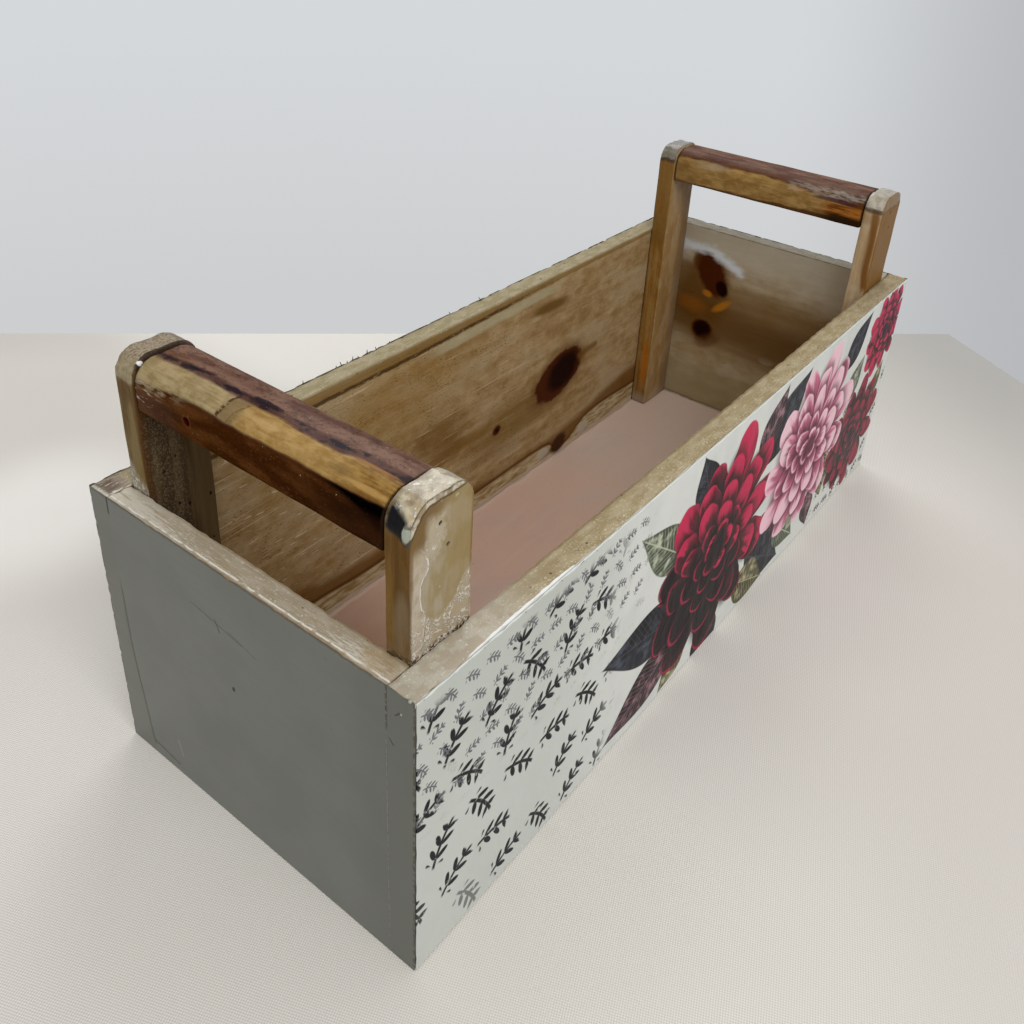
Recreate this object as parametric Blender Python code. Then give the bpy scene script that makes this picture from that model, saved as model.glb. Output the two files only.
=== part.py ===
"""Open wooden storage box with a carrying handle at each end.

Two long boards run the full length and cover the end grain of two shorter end boards. A plywood bottom is let
in between the long boards, under the end boards. In each inner corner stands a flat post that reaches down to
the bottom, and at each end a round-shouldered grip bar is pinned between two posts. Printed paper is glued on
the outside of the front board.

Metres, +Z up, +X along the box from its left end to its right end, -Y towards the papered front.
The origin is the centre of the underside.
"""
import math

import bmesh
import bpy
from mathutils import Matrix, Vector

# Boards
LENGTH = 0.3920
WIDTH = 0.1506
WALL_HEIGHT = 0.1200
LONG_BOARD_THICKNESS = 0.0100
END_BOARD_THICKNESS = 0.0093
BOTTOM_THICKNESS = 0.0040
PAPER_THICKNESS = 0.0003
PAPER_MARGIN = 0.0003

# Handles
POST_WIDTH = 0.0260
POST_THICKNESS = 0.0100
LEFT_HANDLE_TOP = 0.1715
RIGHT_HANDLE_TOP = 0.1702
POST_SHOULDER_RADIUS = 0.0085
POST_CROWN_RADIUS = 0.0450
POST_EDGE_RADIUS = 0.0010
GRIP_WIDTH = 0.0256
GRIP_HEIGHT = 0.0172
GRIP_SHOULDER_RADIUS = 0.0085
GRIP_CROWN_RADIUS = 0.0450
GRIP_SET_DOWN = 0.0008
SHOULDER_STEPS = 7
CROWN_STEPS = 5

# Small hole drilled in the side of the left grip bar
SIDE_HOLE_DIAMETER = 0.0032
SIDE_HOLE_DEPTH = 0.0050
SIDE_HOLE_FROM_END = 0.0265
SIDE_HOLE_HEIGHT = 0.0070
SIDE_HOLE_SIDES = 16

# Panel pins
PIN_DIAMETER = 0.0010
PIN_POINT_DIAMETER = 0.0003
PIN_HEAD_DIAMETER = 0.0014
PIN_HEAD_LENGTH = 0.0008
PIN_POINT_LENGTH = 0.0015
PIN_SET = 0.0004
PIN_SIDES = 8
CORNER_PIN_BITE = 0.0150
CORNER_PIN_COUNT = 3
CORNER_PIN_MARGIN = 0.0220
POST_PIN_COVER = 0.0020
POST_PIN_COUNT = 2
POST_PIN_MARGIN = 0.0340
GRIP_PIN_BITE = 0.0140
GRIP_PIN_HIGH_INSET = 0.0117
GRIP_PIN_HIGH_RISE = 0.0084
GRIP_PIN_LOW_INSET = 0.0149
GRIP_PIN_LOW_DROP = 0.0006
GRIP_PIN_LOW_TILT_DEGREES = 20
BOTTOM_PIN_BITE = 0.0110
BOTTOM_PIN_COUNT = 3
BOTTOM_PIN_MARGIN = 0.0250

# Clearances and sanded edges
GAP = 0.0003
EDGE_EASE = 0.0004
EASED_CORNER_DEGREES = 40
CUT_PAST = 0.0010

# Faces that several pieces share
LEFT_END = -LENGTH / 2
RIGHT_END = LENGTH / 2
BACK_FACE = WIDTH / 2
FRONT_FACE = -WIDTH / 2 + PAPER_THICKNESS + GAP
BACK_INNER = BACK_FACE - LONG_BOARD_THICKNESS
FRONT_INNER = FRONT_FACE + LONG_BOARD_THICKNESS
LEFT_INNER = LEFT_END + END_BOARD_THICKNESS
RIGHT_INNER = RIGHT_END - END_BOARD_THICKNESS
FLOOR = BOTTOM_THICKNESS


def clear_scene():
    for item in list(bpy.data.objects):
        bpy.data.objects.remove(item, do_unlink=True)


def material(name, colour, roughness):
    made = bpy.data.materials.new(name)
    made.use_nodes = True
    shader = made.node_tree.nodes["Principled BSDF"]
    shader.inputs["Base Color"].default_value = (*colour, 1.0)
    shader.inputs["Roughness"].default_value = roughness
    shader.inputs["Metallic"].default_value = 0.0
    return made


def metal(name, colour, roughness):
    made = material(name, colour, roughness)
    made.node_tree.nodes["Principled BSDF"].inputs["Metallic"].default_value = 1.0
    return made


def add_object(name, mesh_builder, finish):
    """Link an object whose mesh is finished from an open bmesh."""
    mesh = bpy.data.meshes.new(name)
    bmesh.ops.recalc_face_normals(mesh_builder, faces=mesh_builder.faces)
    mesh_builder.to_mesh(mesh)
    mesh_builder.free()
    made = bpy.data.objects.new(name, mesh)
    bpy.context.scene.collection.objects.link(made)
    if finish is not None:
        mesh.materials.append(finish)
    return made


def ease_edges(piece, width, segments=1):
    """Break the sharp edges as sandpaper does."""
    bevel = piece.modifiers.new("eased_edges", "BEVEL")
    bevel.width = width
    bevel.segments = segments
    bevel.limit_method = "ANGLE"
    bevel.angle_limit = math.radians(EASED_CORNER_DEGREES)


def cut(piece, holes):
    """Cut a list of (point, direction, rings, sides) holes from the piece with one hidden cutter."""
    builder = bmesh.new()
    for point, direction, rings, sides in holes:
        add_turned(builder, point, direction, rings, sides)
    cutter = add_object(piece.name + ".cutter", builder, None)
    cutter.hide_render = True
    cutter.display_type = "WIRE"
    boolean = piece.modifiers.new("holes", "BOOLEAN")
    boolean.operation = "DIFFERENCE"
    boolean.solver = "EXACT"
    boolean.object = cutter


def board(name, low, high, finish):
    """A squared board between two opposite corners."""
    low = Vector(low)
    high = Vector(high)
    builder = bmesh.new()
    place = Matrix.Translation((low + high) / 2) @ Matrix.Diagonal((*(high - low), 1.0))
    bmesh.ops.create_cube(builder, size=1.0, matrix=place)
    return add_object(name, builder, finish)


def add_turned(builder, point, direction, rings, sides):
    """Add a closed turned body: each ring is (distance along the direction, radius)."""
    turn = Vector((0, 0, 1)).rotation_difference(Vector(direction)).to_matrix().to_4x4()
    place = Matrix.Translation(Vector(point)) @ turn
    loops = []
    for distance, radius in rings:
        loop = []
        for step in range(sides):
            angle = 2 * math.pi * (step + 0.5) / sides
            corner = Vector((radius * math.cos(angle), radius * math.sin(angle), distance))
            loop.append(builder.verts.new(place @ corner))
        loops.append(loop)
    for lower, upper in zip(loops, loops[1:]):
        for step in range(sides):
            after = (step + 1) % sides
            builder.faces.new((lower[step], lower[after], upper[after], upper[step]))
    builder.faces.new(list(reversed(loops[0])))
    builder.faces.new(loops[-1])


def shouldered_outline(width, bottom, top, shoulder, crown):
    """Outline of a slat end: flat foot, straight sides, round shoulders and a slightly domed crown."""
    shoulder = min(shoulder, width / 2 - GAP)
    inset = width / 2 - shoulder
    crown_centre = top - crown
    shoulder_centre = crown_centre + math.sqrt((crown - shoulder) ** 2 - inset ** 2)
    crown_angle = math.asin(inset / (crown - shoulder))
    points = [(-width / 2, bottom), (width / 2, bottom)]
    for step in range(SHOULDER_STEPS + 1):
        angle = (math.pi / 2 - crown_angle) * step / SHOULDER_STEPS
        points.append((inset + shoulder * math.cos(angle), shoulder_centre + shoulder * math.sin(angle)))
    for step in range(1, CROWN_STEPS):
        angle = crown_angle - 2 * crown_angle * step / CROWN_STEPS
        points.append((crown * math.sin(angle), crown_centre + crown * math.cos(angle)))
    for step in range(SHOULDER_STEPS + 1):
        angle = (math.pi / 2 - crown_angle) * (1 - step / SHOULDER_STEPS)
        points.append((-inset - shoulder * math.cos(angle), shoulder_centre + shoulder * math.sin(angle)))
    return points


def extruded(name, outline, centre, low, high, finish):
    """An outline in X and Z about the given X centre, extruded along Y from low to high."""
    builder = bmesh.new()
    corners = [builder.verts.new((centre + x, low, z)) for x, z in outline]
    face = builder.faces.new(corners)
    grown = bmesh.ops.extrude_face_region(builder, geom=[face])
    moved = [item for item in grown["geom"] if isinstance(item, bmesh.types.BMVert)]
    bmesh.ops.translate(builder, verts=moved, vec=(0, high - low, 0))
    return add_object(name, builder, finish)


def pin_rings(length):
    """A panel pin from its head down to its point, measured from the head's top."""
    shank = PIN_DIAMETER / 2
    head = PIN_HEAD_DIAMETER / 2
    point = PIN_POINT_DIAMETER / 2
    return [
        (0, head),
        (PIN_HEAD_LENGTH, head),
        (PIN_HEAD_LENGTH, shank),
        (length - PIN_POINT_LENGTH, shank),
        (length, point),
    ]


def pin_hole_rings(length):
    """The hole that the pin has driven, open past the surface and clear of the pin all round."""
    shank = PIN_DIAMETER / 2 + GAP
    head = PIN_HEAD_DIAMETER / 2 + GAP
    return [
        (-PIN_SET - CUT_PAST, head),
        (PIN_HEAD_LENGTH + GAP, head),
        (PIN_HEAD_LENGTH + GAP, shank),
        (length + GAP, shank),
    ]


def spread(low, high, count):
    """Evenly spaced places from low to high."""
    return [low + (high - low) * step / (count - 1) for step in range(count)]


class Pin:
    """A panel pin driven from a surface point along a direction, its head set just below the surface."""

    def __init__(self, surface_point, direction, length):
        self.direction = Vector(direction).normalized()
        self.head = Vector(surface_point) + self.direction * PIN_SET
        self.length = length

    def hole(self):
        return (self.head, self.direction, pin_hole_rings(self.length), PIN_SIDES)


def pin_solid(name, pin, finish):
    """One panel pin, a node of its own."""
    builder = bmesh.new()
    add_turned(builder, pin.head, pin.direction, pin_rings(pin.length), PIN_SIDES)
    return add_object(name, builder, finish)


clear_scene()

stained_pine = material("stained_pine", (0.33, 0.22, 0.12), 0.55)
painted_end = material("painted_end", (0.14, 0.155, 0.135), 0.42)
washed_end = material("washed_end", (0.30, 0.26, 0.20), 0.55)
dusty_floor = material("dusty_floor", (0.31, 0.21, 0.18), 0.60)
glazed_slat = material("glazed_slat", (0.30, 0.21, 0.11), 0.40)
dark_stained_grip = material("dark_stained_grip", (0.13, 0.06, 0.03), 0.35)
printed_paper = material("printed_paper", (0.58, 0.60, 0.55), 0.35)
steel_pin = metal("steel_pin", (0.35, 0.33, 0.31), 0.45)

# Where the posts stand, by end and side
post_left_x = {
    "left": LEFT_INNER + GAP,
    "right": RIGHT_INNER - GAP - POST_WIDTH,
}
post_outer_y = {
    "front": FRONT_INNER + GAP,
    "back": BACK_INNER - GAP,
}
handle_top = {
    "left": LEFT_HANDLE_TOP,
    "right": RIGHT_HANDLE_TOP,
}
inwards = {
    "front": 1.0,
    "back": -1.0,
}
long_face = {
    "front": FRONT_FACE,
    "back": BACK_FACE,
}
end_board_x = {
    "left": LEFT_END + END_BOARD_THICKNESS / 2,
    "right": RIGHT_END - END_BOARD_THICKNESS / 2,
}


def grip_bottom(end):
    return handle_top[end] - GRIP_SET_DOWN - GRIP_HEIGHT


# Pins through the long boards into the end grain of the end boards
corner_pins = {}
for side in long_face:
    for end in end_board_x:
        pins = []
        for height in spread(CORNER_PIN_MARGIN, WALL_HEIGHT - CORNER_PIN_MARGIN, CORNER_PIN_COUNT):
            place = (end_board_x[end], long_face[side], height)
            length = LONG_BOARD_THICKNESS + CORNER_PIN_BITE
            pins.append(Pin(place, (0, inwards[side], 0), length))
        corner_pins[side, end] = pins

# Pins through the long boards into the posts
post_pins = {}
for side in post_outer_y:
    for end in post_left_x:
        pins = []
        for height in spread(POST_PIN_MARGIN, WALL_HEIGHT - POST_PIN_MARGIN, POST_PIN_COUNT):
            place = (post_left_x[end] + POST_WIDTH / 2, long_face[side], height)
            length = LONG_BOARD_THICKNESS + GAP + POST_THICKNESS - POST_PIN_COVER - PIN_SET
            pins.append(Pin(place, (0, inwards[side], 0), length))
        post_pins[side, end] = pins

# Pins through the posts into the ends of the grip bars: one level, one driven a little upwards from below
grip_pins = {}
for side in post_outer_y:
    for end in post_left_x:
        length = POST_THICKNESS + GRIP_PIN_BITE
        high_place = (
            post_left_x[end] + GRIP_PIN_HIGH_INSET,
            post_outer_y[side],
            grip_bottom(end) + GRIP_PIN_HIGH_RISE,
        )
        low_place = (
            post_left_x[end] + GRIP_PIN_LOW_INSET,
            post_outer_y[side],
            grip_bottom(end) - GRIP_PIN_LOW_DROP,
        )
        tilt = math.radians(GRIP_PIN_LOW_TILT_DEGREES)
        low_way = (0, inwards[side] * math.cos(tilt), math.sin(tilt))
        grip_pins[side, end] = [
            Pin(high_place, (0, inwards[side], 0), length),
            Pin(low_place, low_way, length),
        ]

# Pins up through the plywood into the lower edges of the end boards
bottom_pins = {}
for end in end_board_x:
    pins = []
    for across in spread(FRONT_INNER + BOTTOM_PIN_MARGIN, BACK_INNER - BOTTOM_PIN_MARGIN, BOTTOM_PIN_COUNT):
        place = (end_board_x[end], across, 0)
        pins.append(Pin(place, (0, 0, 1), BOTTOM_THICKNESS + BOTTOM_PIN_BITE))
    bottom_pins[end] = pins

# Long boards
long_boards = {
    "front": ("front_board", FRONT_FACE, FRONT_INNER),
    "back": ("back_board", BACK_INNER, BACK_FACE),
}
for side, (name, low, high) in long_boards.items():
    piece = board(name, (LEFT_END, low, 0), (RIGHT_END, high, WALL_HEIGHT), stained_pine)
    ease_edges(piece, EDGE_EASE)
    pins = [pin for end in end_board_x for pin in corner_pins[side, end] + post_pins[side, end]]
    cut(piece, [pin.hole() for pin in pins])

# End boards, between the long boards and on the plywood
end_boards = {
    "left": ("left_end_board", LEFT_END, LEFT_INNER, painted_end),
    "right": ("right_end_board", RIGHT_INNER, RIGHT_END, washed_end),
}
for end, (name, low, high, finish) in end_boards.items():
    piece = board(
        name,
        (low, FRONT_INNER + GAP, FLOOR + GAP),
        (high, BACK_INNER - GAP, WALL_HEIGHT),
        finish,
    )
    ease_edges(piece, EDGE_EASE)
    pins = corner_pins["front", end] + corner_pins["back", end] + bottom_pins[end]
    cut(piece, [pin.hole() for pin in pins])

# Plywood bottom, let in between the long boards
bottom = board(
    "bottom_panel",
    (LEFT_END, FRONT_INNER + GAP, 0),
    (RIGHT_END, BACK_INNER - GAP, FLOOR),
    dusty_floor,
)
cut(bottom, [pin.hole() for end in bottom_pins for pin in bottom_pins[end]])

# Posts in the four inner corners
for side in post_outer_y:
    for end in post_left_x:
        near = post_outer_y[side]
        far = near + inwards[side] * POST_THICKNESS
        outline = shouldered_outline(
            POST_WIDTH,
            FLOOR + GAP,
            handle_top[end],
            POST_SHOULDER_RADIUS,
            POST_CROWN_RADIUS,
        )
        centre = post_left_x[end] + POST_WIDTH / 2
        name = f"{side}_{end}_post"
        post = extruded(name, outline, centre, min(near, far), max(near, far), glazed_slat)
        ease_edges(post, POST_EDGE_RADIUS, 2)
        cut(post, [pin.hole() for pin in post_pins[side, end] + grip_pins[side, end]])

# Grip bars between the posts
for end in post_left_x:
    low = post_outer_y["front"] + POST_THICKNESS + GAP
    high = post_outer_y["back"] - POST_THICKNESS - GAP
    outline = shouldered_outline(
        GRIP_WIDTH,
        grip_bottom(end),
        grip_bottom(end) + GRIP_HEIGHT,
        GRIP_SHOULDER_RADIUS,
        GRIP_CROWN_RADIUS,
    )
    centre = post_left_x[end] + POST_WIDTH / 2
    grip = extruded(f"{end}_grip_bar", outline, centre, low, high, dark_stained_grip)
    ease_edges(grip, EDGE_EASE)
    holes = [pin.hole() for side in post_outer_y for pin in grip_pins[side, end]]
    if end == "left":
        mouth = (
            centre - GRIP_WIDTH / 2 - CUT_PAST,
            high - SIDE_HOLE_FROM_END,
            grip_bottom(end) + SIDE_HOLE_HEIGHT,
        )
        rings = [(0, SIDE_HOLE_DIAMETER / 2), (CUT_PAST + SIDE_HOLE_DEPTH, SIDE_HOLE_DIAMETER / 2)]
        holes.append((Vector(mouth), Vector((1, 0, 0)), rings, SIDE_HOLE_SIDES))
    cut(grip, holes)

# Printed paper on the front board
board(
    "front_paper",
    (LEFT_END + PAPER_MARGIN, -WIDTH / 2, PAPER_MARGIN),
    (RIGHT_END - PAPER_MARGIN, -WIDTH / 2 + PAPER_THICKNESS, WALL_HEIGHT - PAPER_MARGIN),
    printed_paper,
)

# Pins, each a node of its own
for side in long_face:
    for end in end_board_x:
        groups = {
            "corner": corner_pins[side, end],
            "post": post_pins[side, end],
            "grip": grip_pins[side, end],
        }
        for use, pins in groups.items():
            for number, pin in enumerate(pins, start=1):
                pin_solid(f"{side}_{end}_{use}_pin_{number}", pin, steel_pin)
for end in end_board_x:
    for number, pin in enumerate(bottom_pins[end], start=1):
        pin_solid(f"{end}_bottom_pin_{number}", pin, steel_pin)
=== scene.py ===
import math

import bmesh
import bpy
from mathutils import Matrix, Vector, noise


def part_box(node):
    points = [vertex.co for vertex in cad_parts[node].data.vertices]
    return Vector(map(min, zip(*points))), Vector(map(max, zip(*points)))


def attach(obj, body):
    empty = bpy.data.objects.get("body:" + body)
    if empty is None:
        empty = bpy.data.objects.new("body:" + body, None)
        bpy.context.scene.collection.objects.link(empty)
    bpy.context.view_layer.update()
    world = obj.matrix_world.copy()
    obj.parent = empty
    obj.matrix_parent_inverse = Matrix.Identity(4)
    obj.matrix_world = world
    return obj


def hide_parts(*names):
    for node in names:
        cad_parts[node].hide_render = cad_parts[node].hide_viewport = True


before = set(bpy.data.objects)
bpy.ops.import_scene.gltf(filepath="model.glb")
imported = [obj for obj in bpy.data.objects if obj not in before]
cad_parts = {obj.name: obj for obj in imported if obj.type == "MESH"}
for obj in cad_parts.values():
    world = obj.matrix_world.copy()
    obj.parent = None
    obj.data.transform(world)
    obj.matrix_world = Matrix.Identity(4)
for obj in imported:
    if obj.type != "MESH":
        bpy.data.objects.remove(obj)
bpy.ops.object.select_all(action="DESELECT")
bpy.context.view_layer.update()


# Camera, in front of the near left corner, looking down along the box as in the photo.
camera_place = (-0.3361, -0.2035, 0.3244)
camera_heading = math.radians(-54.22)
camera_tilt = math.radians(61.06)
camera_roll = math.radians(3.37)
camera_lens = 35.16
camera_shift = (-0.0071, -0.1307)
nearest_seen = 0.01

bpy.ops.object.camera_add()
camera = bpy.context.object
camera.name = "camera"
turn = Matrix.Rotation(camera_heading, 4, "Z")
turn = turn @ Matrix.Rotation(camera_tilt, 4, "X")
turn = turn @ Matrix.Rotation(camera_roll, 4, "Z")
camera.matrix_world = Matrix.Translation(camera_place) @ turn
camera.data.lens = camera_lens
camera.data.shift_x, camera.data.shift_y = camera_shift
camera.data.clip_start = nearest_seen
bpy.context.scene.camera = camera


# Studio: a warm white floor cloth under an even pale surround, with a broad soft lamp on the camera's side
# and a weaker one behind that glances off the glaze. The cloth carries pools of painted light and painted
# shade, and the camera sees a cool grey beyond it, painted lighter higher up and darker to the right as
# painted shade.
def tint(red, green, blue):
    """A colour as seen on a screen, 0 to 255, turned into the linear values that a shader takes."""
    steps = [value / 255 for value in (red, green, blue)]
    return (*[((step + 0.055) / 1.055) ** 2.4 if step > 0.04 else step / 12.92 for step in steps], 1.0)


def worked(operation, flipped=False):
    """An operator of a wire: a maths node on the wire and on what stands beside it, if anything does."""

    def operator(self, *other):
        values = (*other, self) if flipped else (self, *other)
        return self.finish.maths(operation, *values)

    return operator


class Wire:
    """An output in a finish's node tree, so that shader maths reads as plain arithmetic."""

    __add__ = worked("ADD")
    __radd__ = worked("ADD", flipped=True)
    __sub__ = worked("SUBTRACT")
    __rsub__ = worked("SUBTRACT", flipped=True)
    __mul__ = worked("MULTIPLY")
    __truediv__ = worked("DIVIDE")
    __pow__ = worked("POWER")
    __abs__ = worked("ABSOLUTE")

    def __init__(self, finish, socket):
        self.finish = finish
        self.socket = socket


class Finish:
    """A surface finish built up in coats over a ground colour. Places and heights are in millimetres."""

    per_metre = 1000
    varnish_roughness = 0.14

    def __init__(self, name, colour, rough, gleam=0.5):
        self.material = bpy.data.materials.new(name)
        self.material.use_nodes = True
        self.tree = self.material.node_tree
        self.shader = self.tree.nodes["Principled BSDF"]
        self.shader.inputs["Specular IOR Level"].default_value = gleam
        self.shader.inputs["Coat Roughness"].default_value = self.varnish_roughness
        self.colour = colour
        self.rough = rough
        self.coat = 0.0
        self.height = 0.0
        place = self.add("ShaderNodeTexCoord", output="Object")
        axes = self.add("ShaderNodeSeparateXYZ", sockets={0: place}).socket.node
        self.x, self.y, self.z = [Wire(self, socket) * self.per_metre for socket in axes.outputs]

    def add(self, kind, settings=None, sockets=None, output=0):
        """Add a node: its settings first, among them a curve's points, then its sockets."""
        made = self.tree.nodes.new(kind)
        for name, value in (settings or {}).items():
            if name == "points":
                knots = made.mapping.curves[0].points
                knots[0].location, knots[1].location = value[0], value[-1]
                for place in value[1:-1]:
                    knots.new(*place)
                made.mapping.update()
            else:
                setattr(made, name, value)
        for name, value in (sockets or {}).items():
            self.plug(made.inputs[name], value)
        return Wire(self, made.outputs[output])

    def plug(self, socket, value):
        """Feed a socket from a wire or a plain value. A plain colour is as seen on a screen, 0 to 255."""
        if isinstance(value, Wire):
            self.tree.links.new(value.socket, socket)
        elif socket.type == "RGBA":
            socket.default_value = tint(*value)
        else:
            socket.default_value = value

    def maths(self, operation, *values):
        return self.add("ShaderNodeMath", {"operation": operation}, dict(enumerate(values)))

    def lesser(self, one, other):
        return self.maths("MINIMUM", one, other)

    def greater(self, one, other):
        return self.maths("MAXIMUM", one, other)

    def point(self, x, y, z):
        return self.add("ShaderNodeCombineXYZ", sockets={0: x, 1: y, 2: z})

    def noise(self, x, y, z, detail=3.0, roughness=0.5):
        """Cloudy noise from 0 to 1 about 0.5. What is passed in sets the size of its clouds."""
        sockets = {"Vector": self.point(x, y, z), "Scale": 1.0, "Detail": detail, "Roughness": roughness}
        return self.add("ShaderNodeTexNoise", sockets=sockets)

    def spots(self, x, y, z, radius, share):
        """Round spots in a share of the cells of a loose net. The radius counts in cells."""
        sockets = {"Vector": self.point(x, y, z), "Scale": 1.0}
        net = self.add("ShaderNodeTexVoronoi", sockets=sockets).socket.node
        chance = self.add("ShaderNodeSeparateColor", sockets={0: Wire(self, net.outputs["Color"])})
        near = self.fade(Wire(self, net.outputs["Distance"]), radius * 1.25, radius * 0.75)
        return near * self.fade(chance, share + 0.01, share - 0.01)

    def fade(self, value, start, end):
        """0 at start, 1 at end, and a soft step between them."""
        sockets = {"Value": value, "From Min": min(start, end), "From Max": max(start, end)}
        sockets["To Min"] = 0.0 if start < end else 1.0
        sockets["To Max"] = 1.0 - sockets["To Min"]
        return self.add("ShaderNodeMapRange", {"interpolation_type": "SMOOTHSTEP", "clamp": False}, sockets)

    def window(self, value, low, high, soft):
        """1 between low and high, and 0 outside."""
        return self.fade(value - low, -soft, soft) * self.fade(value - high, soft, -soft)

    def line(self, value, half, soft):
        """1 where a value is near 0, as on a drawn line."""
        return self.fade(abs(value), half + soft, half)

    def trace(self, value, *places):
        """Height of a smooth line through places given as (along, height), read off at a value."""
        alongs = [along for along, height in places]
        heights = [height for along, height in places]
        first, run = alongs[0], alongs[-1] - alongs[0]
        low, rise = min(heights), max(heights) - min(heights)
        points = [((along - first) / run, (height - low) / rise) for along, height in places]
        share = (self.lesser(self.greater(value, first), first + run) - first) / run
        return self.add("ShaderNodeFloatCurve", {"points": points}, {"Value": share}) * rise + low

    def blend(self, mask, under, over):
        return self.add("ShaderNodeMix", {"data_type": "RGBA"}, {0: mask, 6: under, 7: over}, output=2)

    def oval(self, u, v, centre, radii, tilt=0.0):
        """Distance from a centre, counted in radii, so that 1 is the oval's outline."""
        across, up = u - centre[0], v - centre[1]
        turned = across * (math.cos(tilt) / radii[0]) + up * (math.sin(tilt) / radii[0])
        raised = up * (math.cos(tilt) / radii[1]) - across * (math.sin(tilt) / radii[1])
        return (turned * turned + raised * raised) ** 0.5

    def stroke(self, u, v, start, end):
        """Distance in millimetres from a straight stroke between two places."""
        run, rise = end[0] - start[0], end[1] - start[1]
        length = math.hypot(run, rise)
        along = (u - start[0]) * (run / length**2) + (v - start[1]) * (rise / length**2)
        along = self.lesser(self.greater(along, 0.0), 1.0)
        across, up = u - start[0] - along * run, v - start[1] - along * rise
        return (across * across + up * up) ** 0.5

    def lay(self, mask, colour=None, rough=None, height=None, varnish=None):
        """Lay a coat over what is there, as far as its mask reaches."""
        if colour is not None:
            self.colour = self.blend(mask, self.colour, colour)
        if rough is not None:
            self.rough = mask * (rough - self.rough) + self.rough
        if height is not None:
            self.height = mask * height + self.height
        if varnish is not None:
            self.coat = mask * (varnish - self.coat) + self.coat

    def dab(self, value, start, end, strength=1.0, **coat):
        """Lay a coat that is absent where a value is at start and reaches its strength at end."""
        mask = self.fade(value, start, end)
        self.lay(mask if strength == 1.0 else mask * strength, **coat)

    def done(self):
        """Wire the coats to the shader and give the material."""
        self.plug(self.shader.inputs["Base Color"], self.colour)
        self.plug(self.shader.inputs["Roughness"], self.rough)
        self.plug(self.shader.inputs["Coat Weight"], self.coat)
        if isinstance(self.height, Wire):
            bump = self.add(
                "ShaderNodeBump", sockets={"Height": self.height, "Distance": 1 / self.per_metre}
            )
            self.plug(self.shader.inputs["Normal"], bump)
        return self.material


floor_size = 8.0
floor_drop = 0.0002
wall_line = ((0.0857, 0.2946, 0), (0.728, 0.685, 0))
corner_line = ((0.4189, -0.0626, 0), (0.82, -0.57, 0))
bpy.ops.mesh.primitive_plane_add(size=floor_size, location=(0, 0, -floor_drop))
bpy.ops.object.transform_apply()
floor = bpy.context.object
floor.name = "studio_floor"
bpy.ops.object.mode_set(mode="EDIT")
for edge_place, outwards in (wall_line, corner_line):
    bpy.ops.mesh.select_all(action="SELECT")
    bpy.ops.mesh.bisect(plane_co=edge_place, plane_no=outwards, clear_outer=True)
bpy.ops.object.mode_set(mode="OBJECT")


def past(finish, edge):
    """How far past one of the cloth's edges a point lies."""
    (edge_x, edge_y, _), (way_x, way_y, _) = edge
    return (finish.x - edge_x * finish.per_metre) * way_x + (finish.y - edge_y * finish.per_metre) * way_y


cloth = Finish("studio_floor", (222, 218, 211), 0.85, 0.2)
x, y = cloth.x, cloth.y
clouds = cloth.noise(x / 150, y / 150, 0.0, detail=2)
cloth.dab(clouds, 0.35, 0.7, colour=(228, 225, 219))
thread = 0.9
weave = cloth.maths("PINGPONG", x + y * 0.4, thread / 2) + cloth.maths("PINGPONG", y - x * 0.4, thread / 2)
cloth.dab(weave, 0.2, thread - 0.2, 0.9, colour=(200, 195, 186), height=0.05)
# painted shade: the cloth darkens towards its far right corner
from_corner = past(cloth, corner_line)
cloth.dab(from_corner, -180, -10, 0.85, colour=(172, 170, 166))
from_back = past(cloth, wall_line)
# painted shade: darker along the cloth's back edge at the left
cloth.lay(cloth.fade(from_back, -50, 0) * cloth.fade(x, 40, -120) * 0.6, colour=(198, 193, 188))
# painted light: a brighter pool on the cloth behind the box
painted_light_behind = cloth.fade(from_back, -170, -60) * cloth.fade(x, -20, 50) * cloth.fade(x, 280, 160)
cloth.lay(painted_light_behind * 0.7, colour=(240, 236, 230))
# painted shade: darker on the cloth in front of the box, towards the right
cloth.lay(cloth.fade(x - y * 1.6, 100, 300) * cloth.fade(y, -110, -220) * 0.6, colour=(198, 193, 186))
# painted light: a bright pool on the cloth behind the box's left end
painted_light_left = cloth.oval(x, y, (-140, 235), (70, 60))
cloth.dab(painted_light_left, 1.3, 0.3, 0.7, colour=(244, 240, 235))
floor.data.materials.append(cloth.done())


class Surround(Finish):
    """The world's nodes, added in the same way as a finish's."""

    def __init__(self, world):
        world.use_nodes = True
        self.tree = world.node_tree


surround_strength = 0.58
right_of_camera = (0.585, -0.811, 0.0)
world = bpy.data.worlds.new("studio_surround")
bpy.context.scene.world = world
surround = Surround(world)
even = surround.tree.nodes["Background"]
even.inputs["Color"].default_value = (1.0, 1.0, 1.0, 1.0)
even.inputs["Strength"].default_value = surround_strength
direction = surround.add("ShaderNodeTexCoord", output="Generated")
rightwards = surround.add(
    "ShaderNodeVectorMath", {"operation": "DOT_PRODUCT"}, {0: direction, 1: right_of_camera}, output="Value"
)
upwards = surround.add("ShaderNodeSeparateXYZ", sockets={0: direction}, output="Z")
raised = surround.add("ShaderNodeMapRange", sockets={"Value": upwards, "From Min": -0.4, "From Max": -0.18})
# painted light and shade on the grey beyond the cloth: lighter higher up, darker to the right
lit_wall = surround.blend(raised, (205, 206, 207), (213, 216, 219))
wall = surround.blend(surround.fade(rightwards, 0.22, 0.46), lit_wall, (183, 185, 188))
backdrop = surround.add("ShaderNodeBackground", sockets={"Color": wall})
sight = surround.add("ShaderNodeLightPath").socket.node
seen, mirrored, through = [
    Wire(surround, sight.outputs[f"Is {kind} Ray"]) for kind in ("Camera", "Glossy", "Transmission")
]
seen_at_all = surround.greater(surround.greater(seen, mirrored), through)
either = surround.add(
    "ShaderNodeMixShader", sockets={"Fac": seen_at_all, 1: Wire(surround, even.outputs[0]), 2: backdrop}
)
surround.plug(surround.tree.nodes["World Output"].inputs["Surface"], either)

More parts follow.
